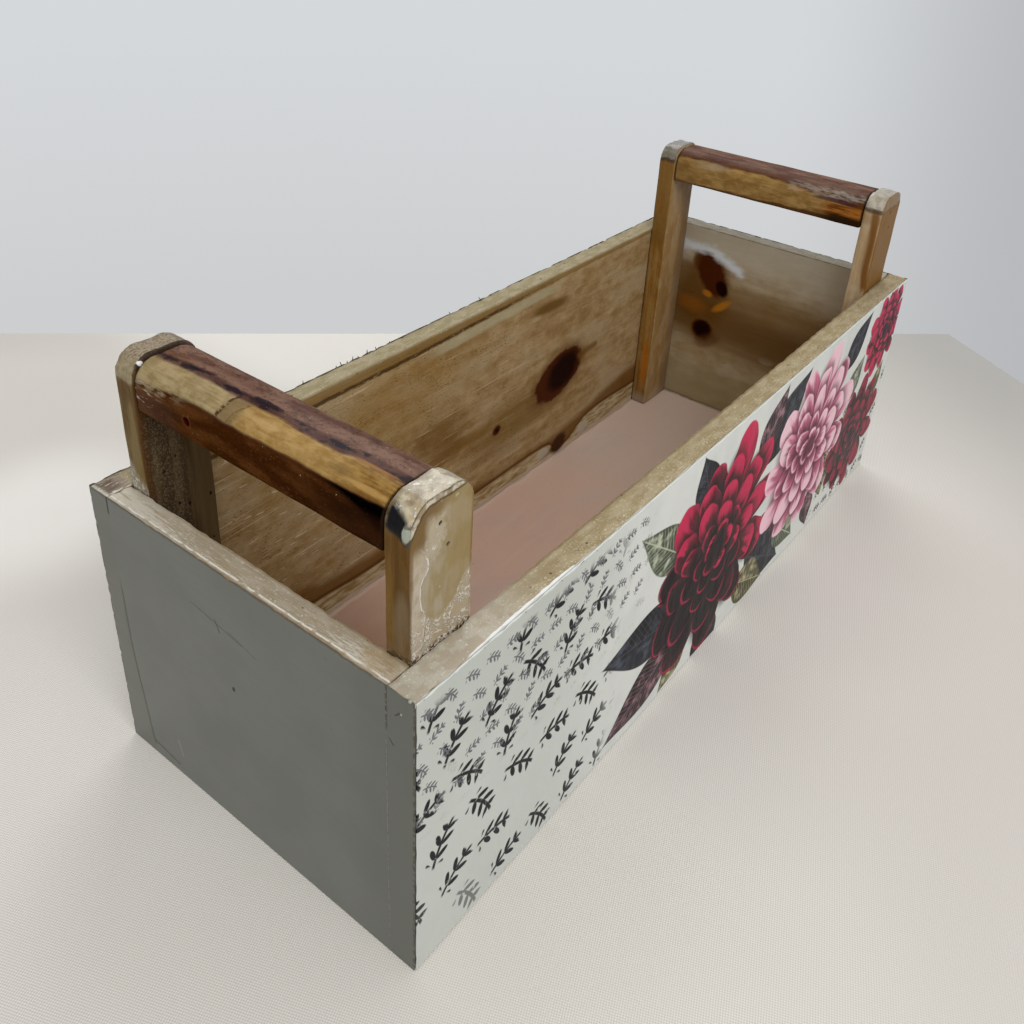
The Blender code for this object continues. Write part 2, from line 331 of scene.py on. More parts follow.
lamps = {
    "camera_side_lamp": (Vector((-0.52, -0.82, 1.05)), 10.5, 0.9),
    "back_lamp": (Vector((0.55, 0.45, 0.85)), 2.5, 0.6),
}
lit_point = Vector((0.0, 0.0, 0.06))
for name, (place, power, size) in lamps.items():
    bpy.ops.object.light_add(type="AREA", location=place)
    lamp = bpy.context.object
    lamp.name = name
    lamp.data.energy = power
    lamp.data.size = size
    lamp.rotation_euler = (lit_point - place).to_track_quat("-Z", "Y").to_euler()
bpy.context.scene.view_settings.view_transform = "Standard"


# Bottom panel: 4 mm plywood let in between the long boards, its upper face brushed over with a
# smooth dusty pink paint that has puddled and thinned in broad soft patches. It is paler towards the far
# end with painted sheen, and darker towards the near end as painted shade.
def span(axis, edge):
    return abs(edge.verts[0].co[axis] - edge.verts[1].co[axis])


def line_cuts(piece, axis, pitch, most_cuts=100):
    """Cut all the long edges along one axis into equal stretches of about the pitch."""
    mesh = bmesh.from_edit_mesh(piece.data)
    longest = max(span(axis, edge) for edge in mesh.edges)
    parts = max(1, round(longest / pitch))
    coarse = math.ceil(parts / most_cuts)
    for count in (coarse, round(parts / coarse)):
        if count > 1:
            mesh = bmesh.from_edit_mesh(piece.data)
            for edge in mesh.edges:
                edge.select_set(span(axis, edge) > 0.6 * longest)
            bmesh.update_edit_mesh(piece.data)
            bpy.ops.mesh.subdivide(number_cuts=count - 1)
            longest /= count


def squared_piece(name, low, high, ease, pitch, segments=2):
    """A squared piece of wood with eased arrises, lined all over with cuts that wear can be shaped into."""
    low, high = Vector(low), Vector(high)
    bpy.ops.mesh.primitive_cube_add(size=1, location=(low + high) / 2, scale=high - low)
    piece = bpy.context.object
    piece.name = piece.data.name = name
    bpy.ops.object.transform_apply()
    bpy.ops.object.mode_set(mode="EDIT")
    bpy.ops.mesh.select_mode(type="EDGE")
    bpy.ops.mesh.select_all(action="SELECT")
    bpy.ops.mesh.bevel(offset=ease, segments=segments, affect="EDGES")
    for axis in range(3):
        line_cuts(piece, axis, pitch)
    bpy.ops.object.mode_set(mode="OBJECT")
    return piece


def weather(piece, low, high, ease, wave, wave_size, wear, wear_size):
    """Give a piece the slight waves of hand work, and knock its arrises back unevenly."""
    low, high = Vector(low), Vector(high)
    for vertex in piece.data.vertices:
        place = vertex.co.copy()
        vertex.co += noise.noise_vector(place / wave_size) * wave
        inwards = Vector((0, 0, 0))
        for axis in range(3):
            if place[axis] - low[axis] < ease * 1.1:
                inwards[axis] = 1
            if high[axis] - place[axis] < ease * 1.1:
                inwards[axis] = -1
        if inwards.length > 1.2:
            knock = max(0.0, noise.noise(place / wear_size) + 0.15)
            vertex.co += inwards * knock * wear
        vertex.co.z = max(vertex.co.z, low.z)


smooth_below = math.radians(38)


def dress(piece, material, slot, *nodes):
    """Finish a piece and let it stand for its plain solids."""
    piece.data.materials.clear()
    piece.data.materials.append(material)
    bpy.ops.object.select_all(action="DESELECT")
    piece.select_set(True)
    bpy.context.view_layer.objects.active = piece
    bpy.ops.object.shade_smooth_by_angle(angle=smooth_below)
    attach(piece, "root")
    if nodes:
        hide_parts(*nodes)
    bpy.ops.object.select_all(action="DESELECT")


# the waves take their offsets from the clock unless the noise has a seed
wave_seed = 1
noise.seed_set(wave_seed)

bottom_ease = 0.0003
bottom_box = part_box("bottom_panel")
bottom = squared_piece("dressed_bottom_panel", *bottom_box, bottom_ease, 0.004)
weather(bottom, *bottom_box, bottom_ease, wave=0.00008, wave_size=0.03, wear=0.0002, wear_size=0.006)
pink = Finish("dusty_pink_paint", (206, 172, 154), 0.36, 0.3)
x, y, z = pink.x, pink.y, pink.z
patches = pink.noise(x / 50, y / 32, 0.0)
pink.dab(patches, 0.45, 0.7, colour=(197, 170, 157), rough=0.42)
streaks = pink.noise(x / 70, y / 7, 1.0, detail=2)
pink.dab(streaks, 0.48, 0.75, 0.5, colour=(212, 182, 164), rough=0.3)
# paler towards the far end: puddled paint, with painted sheen
pink.dab(x + patches * 60, 40, 150, 0.7, colour=(208, 190, 175))
# painted shade: darker towards the near end, beside the near end board
pink.dab(x + patches * 40, -30, -110, 0.85, colour=(154, 114, 82))
grit = pink.noise(x / 1.3, y / 1.3, z, detail=2)
pink.dab(grit, 0.66, 0.74, 0.4, colour=(138, 104, 90), height=0.04)
ripple = pink.noise(x / 16, y / 5, 4.0)
pink.lay(ripple, height=0.25)
lap_wave = pink.noise(x / 12, y / 12, 3.0) * 4
lap = pink.lesser(pink.lesser(abs(y - 65), abs(y + 64.5) + 2), pink.lesser(abs(x - 186.7), abs(x + 186.7)))
pink.dab(lap - lap_wave, 1.8, -0.4, 0.6, colour=(212, 192, 178), height=0.2)
pink.dab(lap - lap_wave, -0.6, -1.6, 0.5, colour=(166, 148, 116), rough=0.55, height=-0.2)
pink.dab(z, 3.6, 3.3, colour=(150, 128, 98), rough=0.7)
dress(bottom, pink.done(), "dusty_floor", "bottom_panel")


# Long boards: knotty pine ten millimetres thick, stained brown and wiped over with a thin grey wash,
# their top edges rubbed pale. They cover the end grain of the end boards.
def pine(finish, along, up, seed, pale, brown, wash):
    """Lay stained pine whose grain runs along. Gives its streaks and broad patches for later coats."""
    streaks = finish.noise(along / 60, up / 6, seed)
    fibres = finish.noise(along / 20, up * 1.1, seed + 2, roughness=0.6)
    patches = finish.noise(along / 36, up / 20, seed + 4, detail=4, roughness=0.55)
    blotches = finish.noise(along / 9, up / 6, seed + 6, roughness=0.6)
    tone = streaks * 0.4 + fibres * 0.12 + blotches * 0.48
    finish.colour = finish.blend(finish.fade(tone, 0.34, 0.66), brown, pale)
    finish.dab(patches, 0.46, 0.66, 0.65, colour=wash, rough=0.5)
    finish.dab(patches, 0.46, 0.3, 0.6, colour=brown, rough=0.4)
    finish.dab(fibres, 0.56, 0.42, height=-0.04)
    return streaks, patches


def knot(finish, u, v, centre, radii, tilt, heart_centre, heart_radii, soft=0.08):
    """A knot: brown wood drawn round it, a dark red-brown disc and a black heart."""
    wobble = finish.noise(u / 6, v / 6, centre[0], detail=2) * 0.36 - 0.18
    out = finish.oval(u, v, centre, radii, tilt) + wobble
    heart = finish.oval(u, v, heart_centre, heart_radii, tilt) + wobble
    finish.dab(out, 1.5, 1.0, 0.65, colour=(104, 74, 36))
    finish.dab(out, 1.0 + soft, 1.0 - soft, colour=(70, 30, 8), rough=0.38)
    finish.dab(heart, 1.6, 0.9, colour=(26, 5, 2), rough=0.36, height=-0.1)


def rubbed_rim(finish, along, inside, width, base, cloud_colour):
    """The top edge of a board: rubbed pale, clouded, specked, and brown along the inner arris."""
    top = finish.fade(finish.z, 119.2, 119.6)
    cloud = finish.noise(along / 9, inside / 4, 2.0, detail=4)
    finish.lay(top, colour=finish.blend(finish.fade(cloud, 0.4, 0.62), base, cloud_colour), rough=0.5)
    fine = finish.noise(along / 3.5, inside / 0.6, 5.0, roughness=0.6)
    finish.lay(top * finish.fade(fine, 0.56, 0.7) * 0.5, colour=(196, 188, 170), height=0.04)
    grit = finish.noise(along / 0.9, inside / 0.8, 8.0, detail=2, roughness=0.6)
    flecked = finish.noise(along / 6, inside / 3, 9.0, detail=2)
    finish.lay(
        top * finish.fade(grit * 0.75 + flecked * 0.25, 0.6, 0.66) * 0.7, colour=(212, 205, 186), height=0.08
    )
    finish.lay(top * finish.fade(grit, 0.36, 0.3) * 0.4, colour=(108, 92, 62), height=-0.06)
    pores = finish.spots(along / 5, inside / 3.5, 1.0, 0.1, 0.3)
    finish.lay(top * pores, colour=(88, 70, 46), height=-0.1)
    edge = finish.noise(along / 5, 3.0, 1.0) * 1.2
    finish.lay(top * finish.fade(inside + edge, width + 0.3, width + 0.8) * 0.5, colour=(112, 90, 56))
    return top, cloud


board_ease = 0.0004
board_pitch = 0.002
bare_pine = (150, 125, 94)
half_length = 196
half_width = 75.3


def worn_board(node):
    """A board of its solid's size, with slight waves and worn arrises."""
    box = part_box(node)
    board = squared_piece("dressed_" + node, *box, board_ease, board_pitch)
    weather(board, *box, board_ease, wave=0.00012, wave_size=0.025, wear=0.0005, wear_size=0.004)
    return board


back_board = worn_board("back_board")
back = Finish("back_board_pine", bare_pine, 0.5, 0.03)
x, y, z = back.x, back.y, back.z
streaks, patches = pine(
    back, x, z, 0.0, (176, 152, 114), (140, 110, 66), (170, 150, 118)
)
ochre = back.oval(x, z, (-65, 93), (85, 24)) + patches
back.dab(ochre, 1.6, 0.9, 0.5, colour=(146, 114, 60))
olive = back.oval(x, z, (28, 46), (50, 18)) + streaks
back.dab(olive, 1.7, 0.8, 0.75, colour=(116, 86, 38))
near_brown = back.oval(x, z, (-25, 60), (26, 18)) + streaks
back.dab(near_brown, 1.8, 0.8, 0.65, colour=(110, 78, 30))
drawn = back.noise(x / 60, 9.0, z / 1.6, detail=2)
back.lay(back.fade(drawn, 0.62, 0.72) * back.fade(x, 90, -20) * 0.7, colour=(204, 184, 150))
ticks = back.noise((x + z * 0.4) / 1.7, 2.0, z / 0.8, detail=2, roughness=0.6)
tick_spread = back.noise(x / 14, 4.0, z / 7)
ticks = back.fade(ticks + tick_spread * 0.35, 0.78, 0.86) * back.fade(x, 90, 20)
back.lay(ticks * 0.6, colour=(84, 56, 22), height=-0.12)
pores = back.noise(x / 2.6, 1.0, z * 1.6, roughness=0.7)
back.dab(pores, 0.44, 0.3, 0.4, colour=(92, 64, 28))
back.dab(pores, 0.58, 0.7, 0.3, colour=(188, 168, 130))
scratches = back.noise(x / 11, 7.0, (z + x * 0.05) * 0.9, detail=2)
scratch_spread = back.fade(x + patches * 40, -60, -95)
back.lay(
    back.fade(scratches, 0.64, 0.69) * scratch_spread * 0.9, colour=(210, 194, 166), height=0.06
)
band_top = back.trace(
    x, (-140, 32), (-118, 25.7), (-67, 18.7), (5, 17.7), (42, 15.1), (80, 16.9), (103, 19.5), (121, 23.5),
    (152, 29),
)
band_foot = back.trace(
    x, (-140, 16), (-109, 14.7), (-67, 12.1), (7, 13.5), (61, 13.8), (73, 10), (78, 5), (86, 6), (100, 13),
    (122, 17.4), (152, 16.5),
)
wander = streaks * 3 - 1.5
band = back.fade(z - band_top + wander, 5.0, -2.0) * back.fade(z - band_foot + wander * 0.4, -1.0, 0.8)
back.lay(band * 0.85, colour=(108, 70, 22), rough=0.42)
back.lay(back.line(z - band_foot - 1.2, 0.3, 1.4) * 0.6, colour=(70, 40, 8))
low_cloud = back.noise(x / 16, 6.0, z / 2.5)
low_grain = back.noise(x / 7, 6.0, z / 1.1, detail=4, roughness=0.6)
below = back.fade(z - band_foot + wander * 0.4 + low_grain * 2 - 1, 0.8, -1.0)
low_colour = back.blend(
    back.fade(low_cloud * 0.5 + low_grain * 0.5, 0.42, 0.58), (144, 116, 72), (190, 174, 140)
)
back.lay(below, colour=low_colour, rough=0.5)
back.lay(
    below * back.fade(z + low_cloud * 5 + low_grain * 2, 9.6, 7.2), colour=(200, 176, 160), height=0.15
)
knot(back, x, z, (74, 57.3), (22, 13.4), 0.27, (78, 58), (11.5, 8.0))
branch = back.stroke(x, z, (94, 62), (110, 63))
back.dab(branch, 3.6, 0.4, 0.8, colour=(104, 72, 28))
knot(back, x, z, (19.4, 46), (3.2, 2.6), 0.3, (19.4, 46), (1.2, 1.0))
stain = back.oval(x, z, (62, 103), (15, 3.0), -0.05)
back.dab(stain + streaks * 0.6, 1.8, 0.9, 0.9, colour=(104, 76, 30))
drip = back.oval(x, z, (79, 9.5), (8, 6), 0.3)
back.dab(drip + low_cloud * 0.4, 1.4, 0.9, colour=(64, 34, 12), rough=0.4)
blobs = back.lesser(
    back.oval(x, z, (105, 9), (6, 4)), back.oval(x, z, (63.9, 9.5), (6, 3.4))
)
back.dab(blobs + low_cloud * 0.5, 1.4, 1.0, 0.9, colour=(180, 170, 156), height=0.3)
under_rim = back.trace(x, (-140, 114.6), (-60, 114.4), (0, 115.6), (60, 116.8), (150, 117.4))
edge_wave = back.noise(x / 9, 5.0, 1.0, detail=4) * 1.6 - 0.8
broken = back.noise(x / 5, 5.0, z / 1.4, roughness=0.6)
strip = back.fade(z - under_rim + edge_wave, -0.3, 0.3)
back.lay(strip * 0.8, colour=(128, 100, 56))
# painted shade: a broken dark line just under the rim
painted_shade_line = (
    back.line(z - under_rim + edge_wave + broken - 0.5, 0.4, 1.2) * back.fade(x + patches * 80, 120, 40)
)
back.lay(painted_shade_line * back.fade(broken, 0.3, 0.5) * 0.85, colour=(62, 42, 18), height=-0.2)
pale_strip = back.window(z - under_rim + edge_wave, -6.5, -1.2, 1.2) * back.window(x, -30, 66, 12)
back.lay(pale_strip * 0.7, colour=(176, 168, 136))
inside = half_width - y
top, cloud = rubbed_rim(back, x, inside, 9.0, (146, 134, 102), (162, 150, 122))
corner = top * back.fade(x, -185.6, -186.6)
back.lay(corner, colour=back.blend(back.fade(cloud, 0.4, 0.55), (106, 92, 78), (144, 130, 114)))
white_rub = back.noise(x / 3.4, inside / 0.8, 1.0, detail=4, roughness=0.65)
rub_here = back.fade(x, -194.2, -195.8) + back.fade(inside, 8.6, 9.8)
back.lay(
    corner * back.fade(white_rub + rub_here * 0.14, 0.56, 0.66), colour=(206, 200, 188), height=0.08
)
tip = corner * back.fade(x + white_rub * 2, -193.0, -194.6)
back.lay(tip * 0.8, colour=(192, 186, 172))
# darker along the rim's outer edge over the near part
dark_outer_edge = back.fade(inside + edge_wave * 0.3, 1.1, 0.4) * top * back.fade(x, 20, -10)
back.lay(dark_outer_edge * 0.75, colour=(92, 76, 54))
dress(back_board, back.done(), "stained_pine", "back_board")

front_board = worn_board("front_board")
front = Finish("front_board_pine", bare_pine, 0.5, 0.03)
x, y, z = front.x, front.y, front.z
pine(front, x, z, 11.0, (176, 152, 114), (140, 110, 66), (170, 150, 118))
low_cloud = front.noise(x / 16, 6.0, z / 2.5)
front.dab(z + low_cloud * 9, 24.0, 14.0, 0.8, colour=(104, 70, 30))
front.dab(z + low_cloud * 5, 9.6, 8.2, colour=(186, 160, 146), height=0.15)
knot(front, x, z, (-48, 71), (13, 8), 0.2, (-46, 71), (5, 3))
inside = y + half_width
top, _ = rubbed_rim(front, x, inside, 9.4, (146, 130, 98), (162, 148, 118))
raised_nap = front.noise(x / 1.0, inside / 0.9, 3.0, detail=2, roughness=0.6)
outer_half = front.fade(inside, 8.5, 3.0)
nap_place = front.noise(x / 12, inside / 4, 6.0, detail=2)
napped = front.fade(raised_nap * 0.75 + nap_place * 0.25, 0.56, 0.64)
front.lay(top * outer_half * napped * 0.6, colour=(206, 196, 170), height=0.08)
near_cloud = front.noise(x / 6, inside / 5, 7.0)
near_end = top * front.fade(x + near_cloud * 30, -112, -150)
near_colour = front.blend(front.fade(near_cloud, 0.44, 0.56), (170, 160, 143), (184, 178, 163))
front.lay(near_end * 0.85, colour=near_colour)
bright_nap = front.fade(raised_nap * 0.7 + near_cloud * 0.3, 0.57, 0.63)
front.lay(near_end * bright_nap * 0.7, colour=(216, 212, 200), height=0.1)
joint_wave = front.noise(x / 4, 1.0, 2.0) * 0.8
dark_lap = top * front.fade(inside + joint_wave, 1.2, 0.7) * front.window(x, -196, -176, 3)
front.lay(dark_lap, colour=(82, 66, 54))
paper_edge = front.trace(
    x, (-196, 0.2), (-178, 0.5), (-165, 1.4), (-140, 1.6), (-120, 0.9), (-60, 0.4), (196, 0.3)
)
outer_arris = front.fade(x, -194.6, -195.0) * front.fade(inside, 2.8, 1.8) * front.fade(z, 119.4, 118.8)
front.lay(outer_arris, colour=(112, 114, 106))
face_top = front.fade(inside, 1.5, 1.1) * (1.0 - top) * front.fade(z, 117.6, 118.0)
front.lay(face_top, colour=(214, 214, 208))
nicks = front.noise(x / 2.2, 4.0, 1.0, roughness=0.6)
nicks = front.fade(nicks, 0.6, 0.66) * front.fade(inside, 1.5, 0.9) * front.fade(x, 20, 60)
front.lay(nicks * top * 0.9, colour=(226, 226, 220), height=0.15)
fluff = front.fade(inside + joint_wave - paper_edge, 0.5, 0.1) * top
front.lay(fluff * front.fade(x, 60, -60), colour=(228, 230, 228), rough=0.6)
dress(front_board, front.done(), "stained_pine", "front_board")


# End boards: pine between the long boards, standing on the plywood. The left one is brown inside, and the
# right one is wiped with a thin greyish wash that its two dark knots show through.
left_board = worn_board("left_end_board")
left = Finish("left_end_pine", bare_pine, 0.5, 0.03)
x, y, z = left.x, left.y, left.z
pine(left, y, z, 21.0, (158, 134, 96), (124, 96, 56), (156, 140, 108))
knot(left, y, z, (22, 48), (9, 6), 0.4, (23, 48), (3.5, 2.2))
inside = x + half_length
top, cloud = rubbed_rim(left, y, inside, 8.4, (152, 140, 118), (164, 152, 132))
lime = left.noise(y / 3.2, inside / 0.55, 4.0, detail=4, roughness=0.7)
lime_place = left.trace(
    y, (-64, 0.1), (-58, 0.75), (-46, 0.8), (-36, 0.35), (-10, 0.45), (8, 0.6), (24, 0.45), (40, 0.9),
    (64, 1.0),
)
lime_side = left.trace(y, (-64, 5.0), (-46, 5.5), (-20, 2.0), (20, 3.0), (44, 5.5), (64, 8.0))
limed = left.fade(inside - lime_side, 1.5, -1.5) * lime_place
chalk_end = left.fade(y, 24, 56) * 0.7
left.lay(top * chalk_end, colour=(188, 179, 160))
left.lay(
    top * left.fade(lime + limed * 0.2 + chalk_end * 0.06, 0.54, 0.74) * 0.8, colour=(200, 194, 180),
    rough=0.4, height=0.05,
)
outer_wave = left.noise(y / 6, 2.0, 6.0)
tan_share = left.trace(y, (-64, 0.5), (-40, 0.8), (10, 0.8), (28, 0.25), (64, 0.1))
tan_line = left.fade(inside + outer_wave * 1.8, 1.9, 0.9) * left.fade(z, 115, 116)
edge_colour = left.blend(tan_share, (166, 160, 146), (138, 108, 66))
left.lay(tan_line * 0.85, colour=edge_colour)
rim_streaks = left.noise(y / 16, inside / 1.3, 9.0, detail=4, roughness=0.6)
left.lay(top * left.fade(rim_streaks, 0.52, 0.64) * 0.5, colour=(142, 122, 88))
white_line = left.line(inside + outer_wave * 1.4 - 2.0, 0.15, 0.3) * left.fade(outer_wave, 0.42, 0.5) * top
left.lay(white_line, colour=(220, 214, 202), height=0.1)
ginger = left.oval(y, inside, (-57, 5), (6, 4)) + cloud * 0.6
left.lay(left.fade(ginger, 1.6, 1.0) * top * 0.4, colour=(160, 134, 92))
dress(left_board, left.done(), "painted_end", "left_end_board")

right_board = worn_board("right_end_board")
right = Finish("right_end_pine", bare_pine, 0.5, 0.03)
x, y, z = right.x, right.y, right.z
streaks, patches = pine(
    right, y, z, 31.0, (176, 158, 126), (146, 124, 86), (182, 168, 142)
)
right.dab(z + patches * 20, 98, 118, 0.75, colour=(188, 180, 162), rough=0.45)
slope = z - y * 0.10 + streaks * 14 - 7
right.lay(right.window(slope + patches * 14 - 7, 42, 92, 11) * 0.85, colour=(120, 92, 54), rough=0.42)
right.lay(right.window(slope, 50, 72, 9) * 0.75, colour=(96, 66, 30), rough=0.4)
round_knots = right.oval(y, z, (40, 76), (17, 27), 0.0) + patches * 0.6
right.dab(round_knots, 1.6, 0.8, 0.85, colour=(94, 62, 20))
upper_lobe = right.oval(y, z, (40, 97.5), (8, 6.5), 0.5) + patches * 0.5
right.dab(upper_lobe, 1.5, 1.0, colour=(72, 32, 9), rough=0.38)
knot(right, y, z, (34, 92), (14.5, 8.6), 1.05, (26.5, 85), (4.0, 3.0), 0.2)
knot(right, y, z, (35.7, 55), (7.0, 6.6), 0.0, (35.7, 55.4), (4.6, 4.4), 0.25)
under_knot = right.oval(y, z, (31, 49), (9, 4.5), -0.5) + patches * 0.5
right.dab(under_knot, 1.6, 0.8, 0.6, colour=(76, 44, 12))
amber = right.lesser(
    right.oval(y, z, (25, 74), (6.5, 2.2), -0.7), right.oval(y, z, (35.5, 79.5), (3.2, 2.0), 0.2)
)
right.dab(amber + streaks * 0.5, 1.7, 0.8, 0.8, colour=(176, 112, 28))
rust_band = right.oval(y, z, (45, 70), (9, 4.6), 0.1)
right.dab(rust_band + streaks * 0.5, 1.9, 0.6, 0.6, colour=(140, 84, 22))
smear = right.lesser(
    right.stroke(y, z, (54, 107), (36, 107.5)), right.stroke(y, z, (34, 106.5), (17, 98.5))
)
smear_cloud = right.noise(y / 6, 5.0, z / 3)
right.dab(smear + smear_cloud * 5 - 2.5, 5.0, 0.2, 0.9, colour=(210, 218, 222), rough=0.3)
right.dab(z + patches * 26, 52, 34, 0.7, colour=(154, 138, 104), rough=0.45)
pale_dabs = right.spots(y / 16, 1.0, z / 9, 0.3, 0.5)
right.lay(pale_dabs * right.fade(z, 52, 44) * 0.4, colour=(168, 164, 146))
inside = half_length - x
rubbed_rim(right, y, inside, 8.6, (150, 144, 128), (164, 158, 144))
dress(right_board, right.done(), "washed_end", "right_end_board")


# Posts: four slats with rounded shoulders, pinned in the inner corners. They are stained olive brown and
# their tops are dipped in a thick cream glaze that has run a little way down.
def even_skin(piece, voxel):
    """Turn a piece into one even skin, with its arrises slightly rounded over."""
    modifier = piece.modifiers.new("even_skin", "REMESH")
    modifier.mode = "VOXEL"
    modifier.voxel_size = voxel
    bpy.ops.object.modifier_apply(modifier=modifier.name)


def shouldered_slat(name, low, high, shoulder, ease):
    """A slat standing or lying in a box, with its two long top edges rounded over in a wide curve."""
    low, high = Vector(low), Vector(high)
    bpy.ops.mesh.primitive_cube_add(size=1, location=(low + high) / 2, scale=high - low)
    piece = bpy.context.object
    piece.name = piece.data.name = name
    bpy.ops.object.transform_apply()
    bpy.ops.object.mode_set(mode="EDIT")
    bpy.ops.mesh.select_mode(type="EDGE")
    mesh = bmesh.from_edit_mesh(piece.data)
    for edge in mesh.edges:
        at_top = all(vertex.co.z > high.z - 0.001 for vertex in edge.verts)
        edge.select_set(at_top and span(1, edge) > 0.5 * (high.y - low.y))
    bmesh.update_edit_mesh(piece.data)
    bpy.ops.mesh.bevel(offset=shoulder, segments=12, affect="EDGES")
    mesh = bmesh.from_edit_mesh(piece.data)
    for edge in mesh.edges:
        edge.select_set(edge.calc_face_angle(0.0) > math.radians(40))
    bmesh.update_edit_mesh(piece.data)
    bpy.ops.mesh.bevel(offset=ease, segments=3, affect="EDGES")
    bpy.ops.object.mode_set(mode="OBJECT")
    return piece


def drill(piece, place, direction, width, depth):
    """Cut a small round hole that starts at a place on the piece's surface."""
    direction = Vector(direction).normalized()
    middle = Vector(place) + direction * (depth / 2 - 0.001)
    turned = direction.to_track_quat("Z", "Y").to_euler()
    bpy.ops.mesh.primitive_cylinder_add(
        vertices=20, radius=width / 2, depth=depth + 0.002, location=middle, rotation=turned
    )
    bit = bpy.context.object
    modifier = piece.modifiers.new("hole", "BOOLEAN")
    modifier.operation = "DIFFERENCE"
    modifier.object = bit
    bpy.context.view_layer.objects.active = piece
    bpy.ops.object.modifier_apply(modifier=modifier.name)
    bpy.data.objects.remove(bit)


post_voxel = 0.0008
post_shoulder = 0.0085
post_ease = 0.0008
pin_hole_width = 0.0016
pin_hole_depth = 0.0016
pin_head_radius = 0.0007
glaze_lift = 0.00035
glaze_lump = 0.0032
glaze_reach = 0.006
post_wave = 0.00014
post_wave_size = 0.012
posts = {}
for side in ("front", "back"):
    for end in ("left", "right"):
        node = f"{side}_{end}_post"
        low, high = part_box(node)
        post = shouldered_slat("dressed_" + node, low, high, post_shoulder, post_ease)
        even_skin(post, post_voxel)
        for vertex in post.data.vertices:
            lump = noise.noise(vertex.co / glaze_lump)
            vertex.co += noise.noise_vector(vertex.co / post_wave_size) * post_wave
            if vertex.co.z > high.z - glaze_reach:
                vertex.co += vertex.normal * glaze_lift * lump
            vertex.co.z = min(vertex.co.z, high.z)
        for number in (1, 2):
            pin_low, pin_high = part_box(f"{node.replace('_post', '')}_grip_pin_{number}")
            middle = (pin_low + pin_high) / 2
            outer = low.y if side == "front" else high.y
            inwards = 1 if side == "front" else -1
            mouth = (middle.x, outer, pin_low.z + pin_head_radius)
            drill(post, mouth, (0, inwards, 0), pin_hole_width, pin_hole_depth)
        posts[node] = post


def stained_slat(name, seed, pale, brown, veil):
    """Olive brown stain with upright grain, clouded over by a thin milky varnish."""
    slat = Finish(name, pale, 0.4, 0.08)
    x, y, z = slat.x, slat.y, slat.z
    streaks = slat.noise(x / 3.2 + seed, y / 3.2, z / 45)
    fibres = slat.noise(x * 1.2 + seed, y * 1.2, z / 22, roughness=0.6)
    mottled = slat.noise(x / 7, y / 7 + seed, z / 14)
    slat.colour = slat.blend(slat.fade(streaks * 0.75 + fibres * 0.25, 0.38, 0.62), brown, pale)
    slat.dab(mottled, 0.46, 0.7, 0.6, colour=veil, rough=0.35)
    pores = slat.noise(x * 1.6, y * 1.6 + seed, z / 2.4, roughness=0.7)
    slat.dab(pores, 0.42, 0.3, 0.45, colour=brown)
    slat.dab(fibres, 0.56, 0.42, height=-0.04)
    slat.dab(slat.noise(x / 9, y / 9, z / 9 + seed, detail=2), 0.3, 0.7, height=0.2)
    return slat, streaks, fibres, mottled


def glaze(slat, mask, level, seed, cream, shade, ochre):
    """A thick glaze: cream, darker where it lies thin and ochre in its hollows, with painted shadow under
    its lower edge.
    """
    x, y, z = slat.x, slat.y, slat.z
    lump = slat.noise(x / 4.5, y / 4.5 + seed, z / 4.5)
    hollow = slat.noise(x / 3.4 + seed, y / 3.4, z / 3.4, detail=4, roughness=0.6)
    colour = slat.blend(slat.fade(lump * 0.6 + hollow * 0.4, 0.38, 0.62), shade, cream)
    colour = slat.blend(slat.fade(hollow, 0.54, 0.7) * 0.6, colour, ochre)
    # painted shadow: a dark band just under the glaze's lower edge
    slat.lay(mask * slat.window(level, -1.4, 0.4, 0.6) * 0.8, colour=(70, 50, 34))
    slat.lay(mask * slat.fade(level, -0.2, 0.5), colour=colour, rough=0.3, height=0.4, varnish=0.9)
    slat.lay(mask * slat.fade(level, 0.0, 1.0) * lump, height=1.6)
    return lump, hollow


# near front post
slat, streaks, _, mottled = stained_slat(
    "near_front_post", 0.0, (118, 88, 38), (90, 60, 16), (114, 88, 48)
)
x, y, z = slat.x, slat.y, slat.z
front_face = slat.fade(y, -63.7, -64.2)
side_face = slat.fade(x, -185.4, -186.1)
front_colour = slat.blend(slat.fade(mottled, 0.42, 0.6), (146, 129, 94), (160, 147, 124))
slat.lay(front_face, colour=front_colour, rough=0.36)
slat.lay(front_face * slat.fade(x + streaks * 8, -171, -164) * 0.55, colour=(142, 120, 76))
slat.lay(front_face * slat.fade(x, -162.6, -160.9) * 0.8, colour=(126, 94, 48))
past_left, past_top = slat.greater(-177.5 - x, 0.0), slat.greater(z - 163.0, 0.0)
depth = 8.5 - (past_left * past_left + past_top * past_top) ** 0.5
milk = front_face * slat.fade(x + mottled * 12, -172, -180) * slat.fade(z, 163, 156)
slat.lay(milk * 0.5, colour=(170, 158, 138), rough=0.3)
smear = slat.noise(x / 2.6, 2.0, z / 3.4, detail=4, roughness=0.62)
patch = slat.oval(x, z, (-177.4, 158.4), (4.6, 6.8), -0.35) + (smear - 0.5) * 2.6
slat.lay(front_face * slat.fade(patch, 1.2, 0.7) * 0.6, colour=(182, 172, 154), rough=0.3, height=0.1)
slat.lay(
    front_face * slat.fade(patch, 1.5, 1.0) * slat.fade(smear, 0.55, 0.62) * 0.7, colour=(208, 200, 184),
    height=0.12,
)
ridge_x = slat.trace(
    z, (120, -184), (128, -181), (134, -180.6), (137, -182.0), (143, -182.6), (147, -181.4), (150, -179.6),
    (154, -180.6), (158, -183),
)
ridge = x - ridge_x + (streaks - 0.5) * 1.5
film = front_face * slat.fade(ridge, 0.2, -0.4) * slat.window(z, 121, 158, 3)
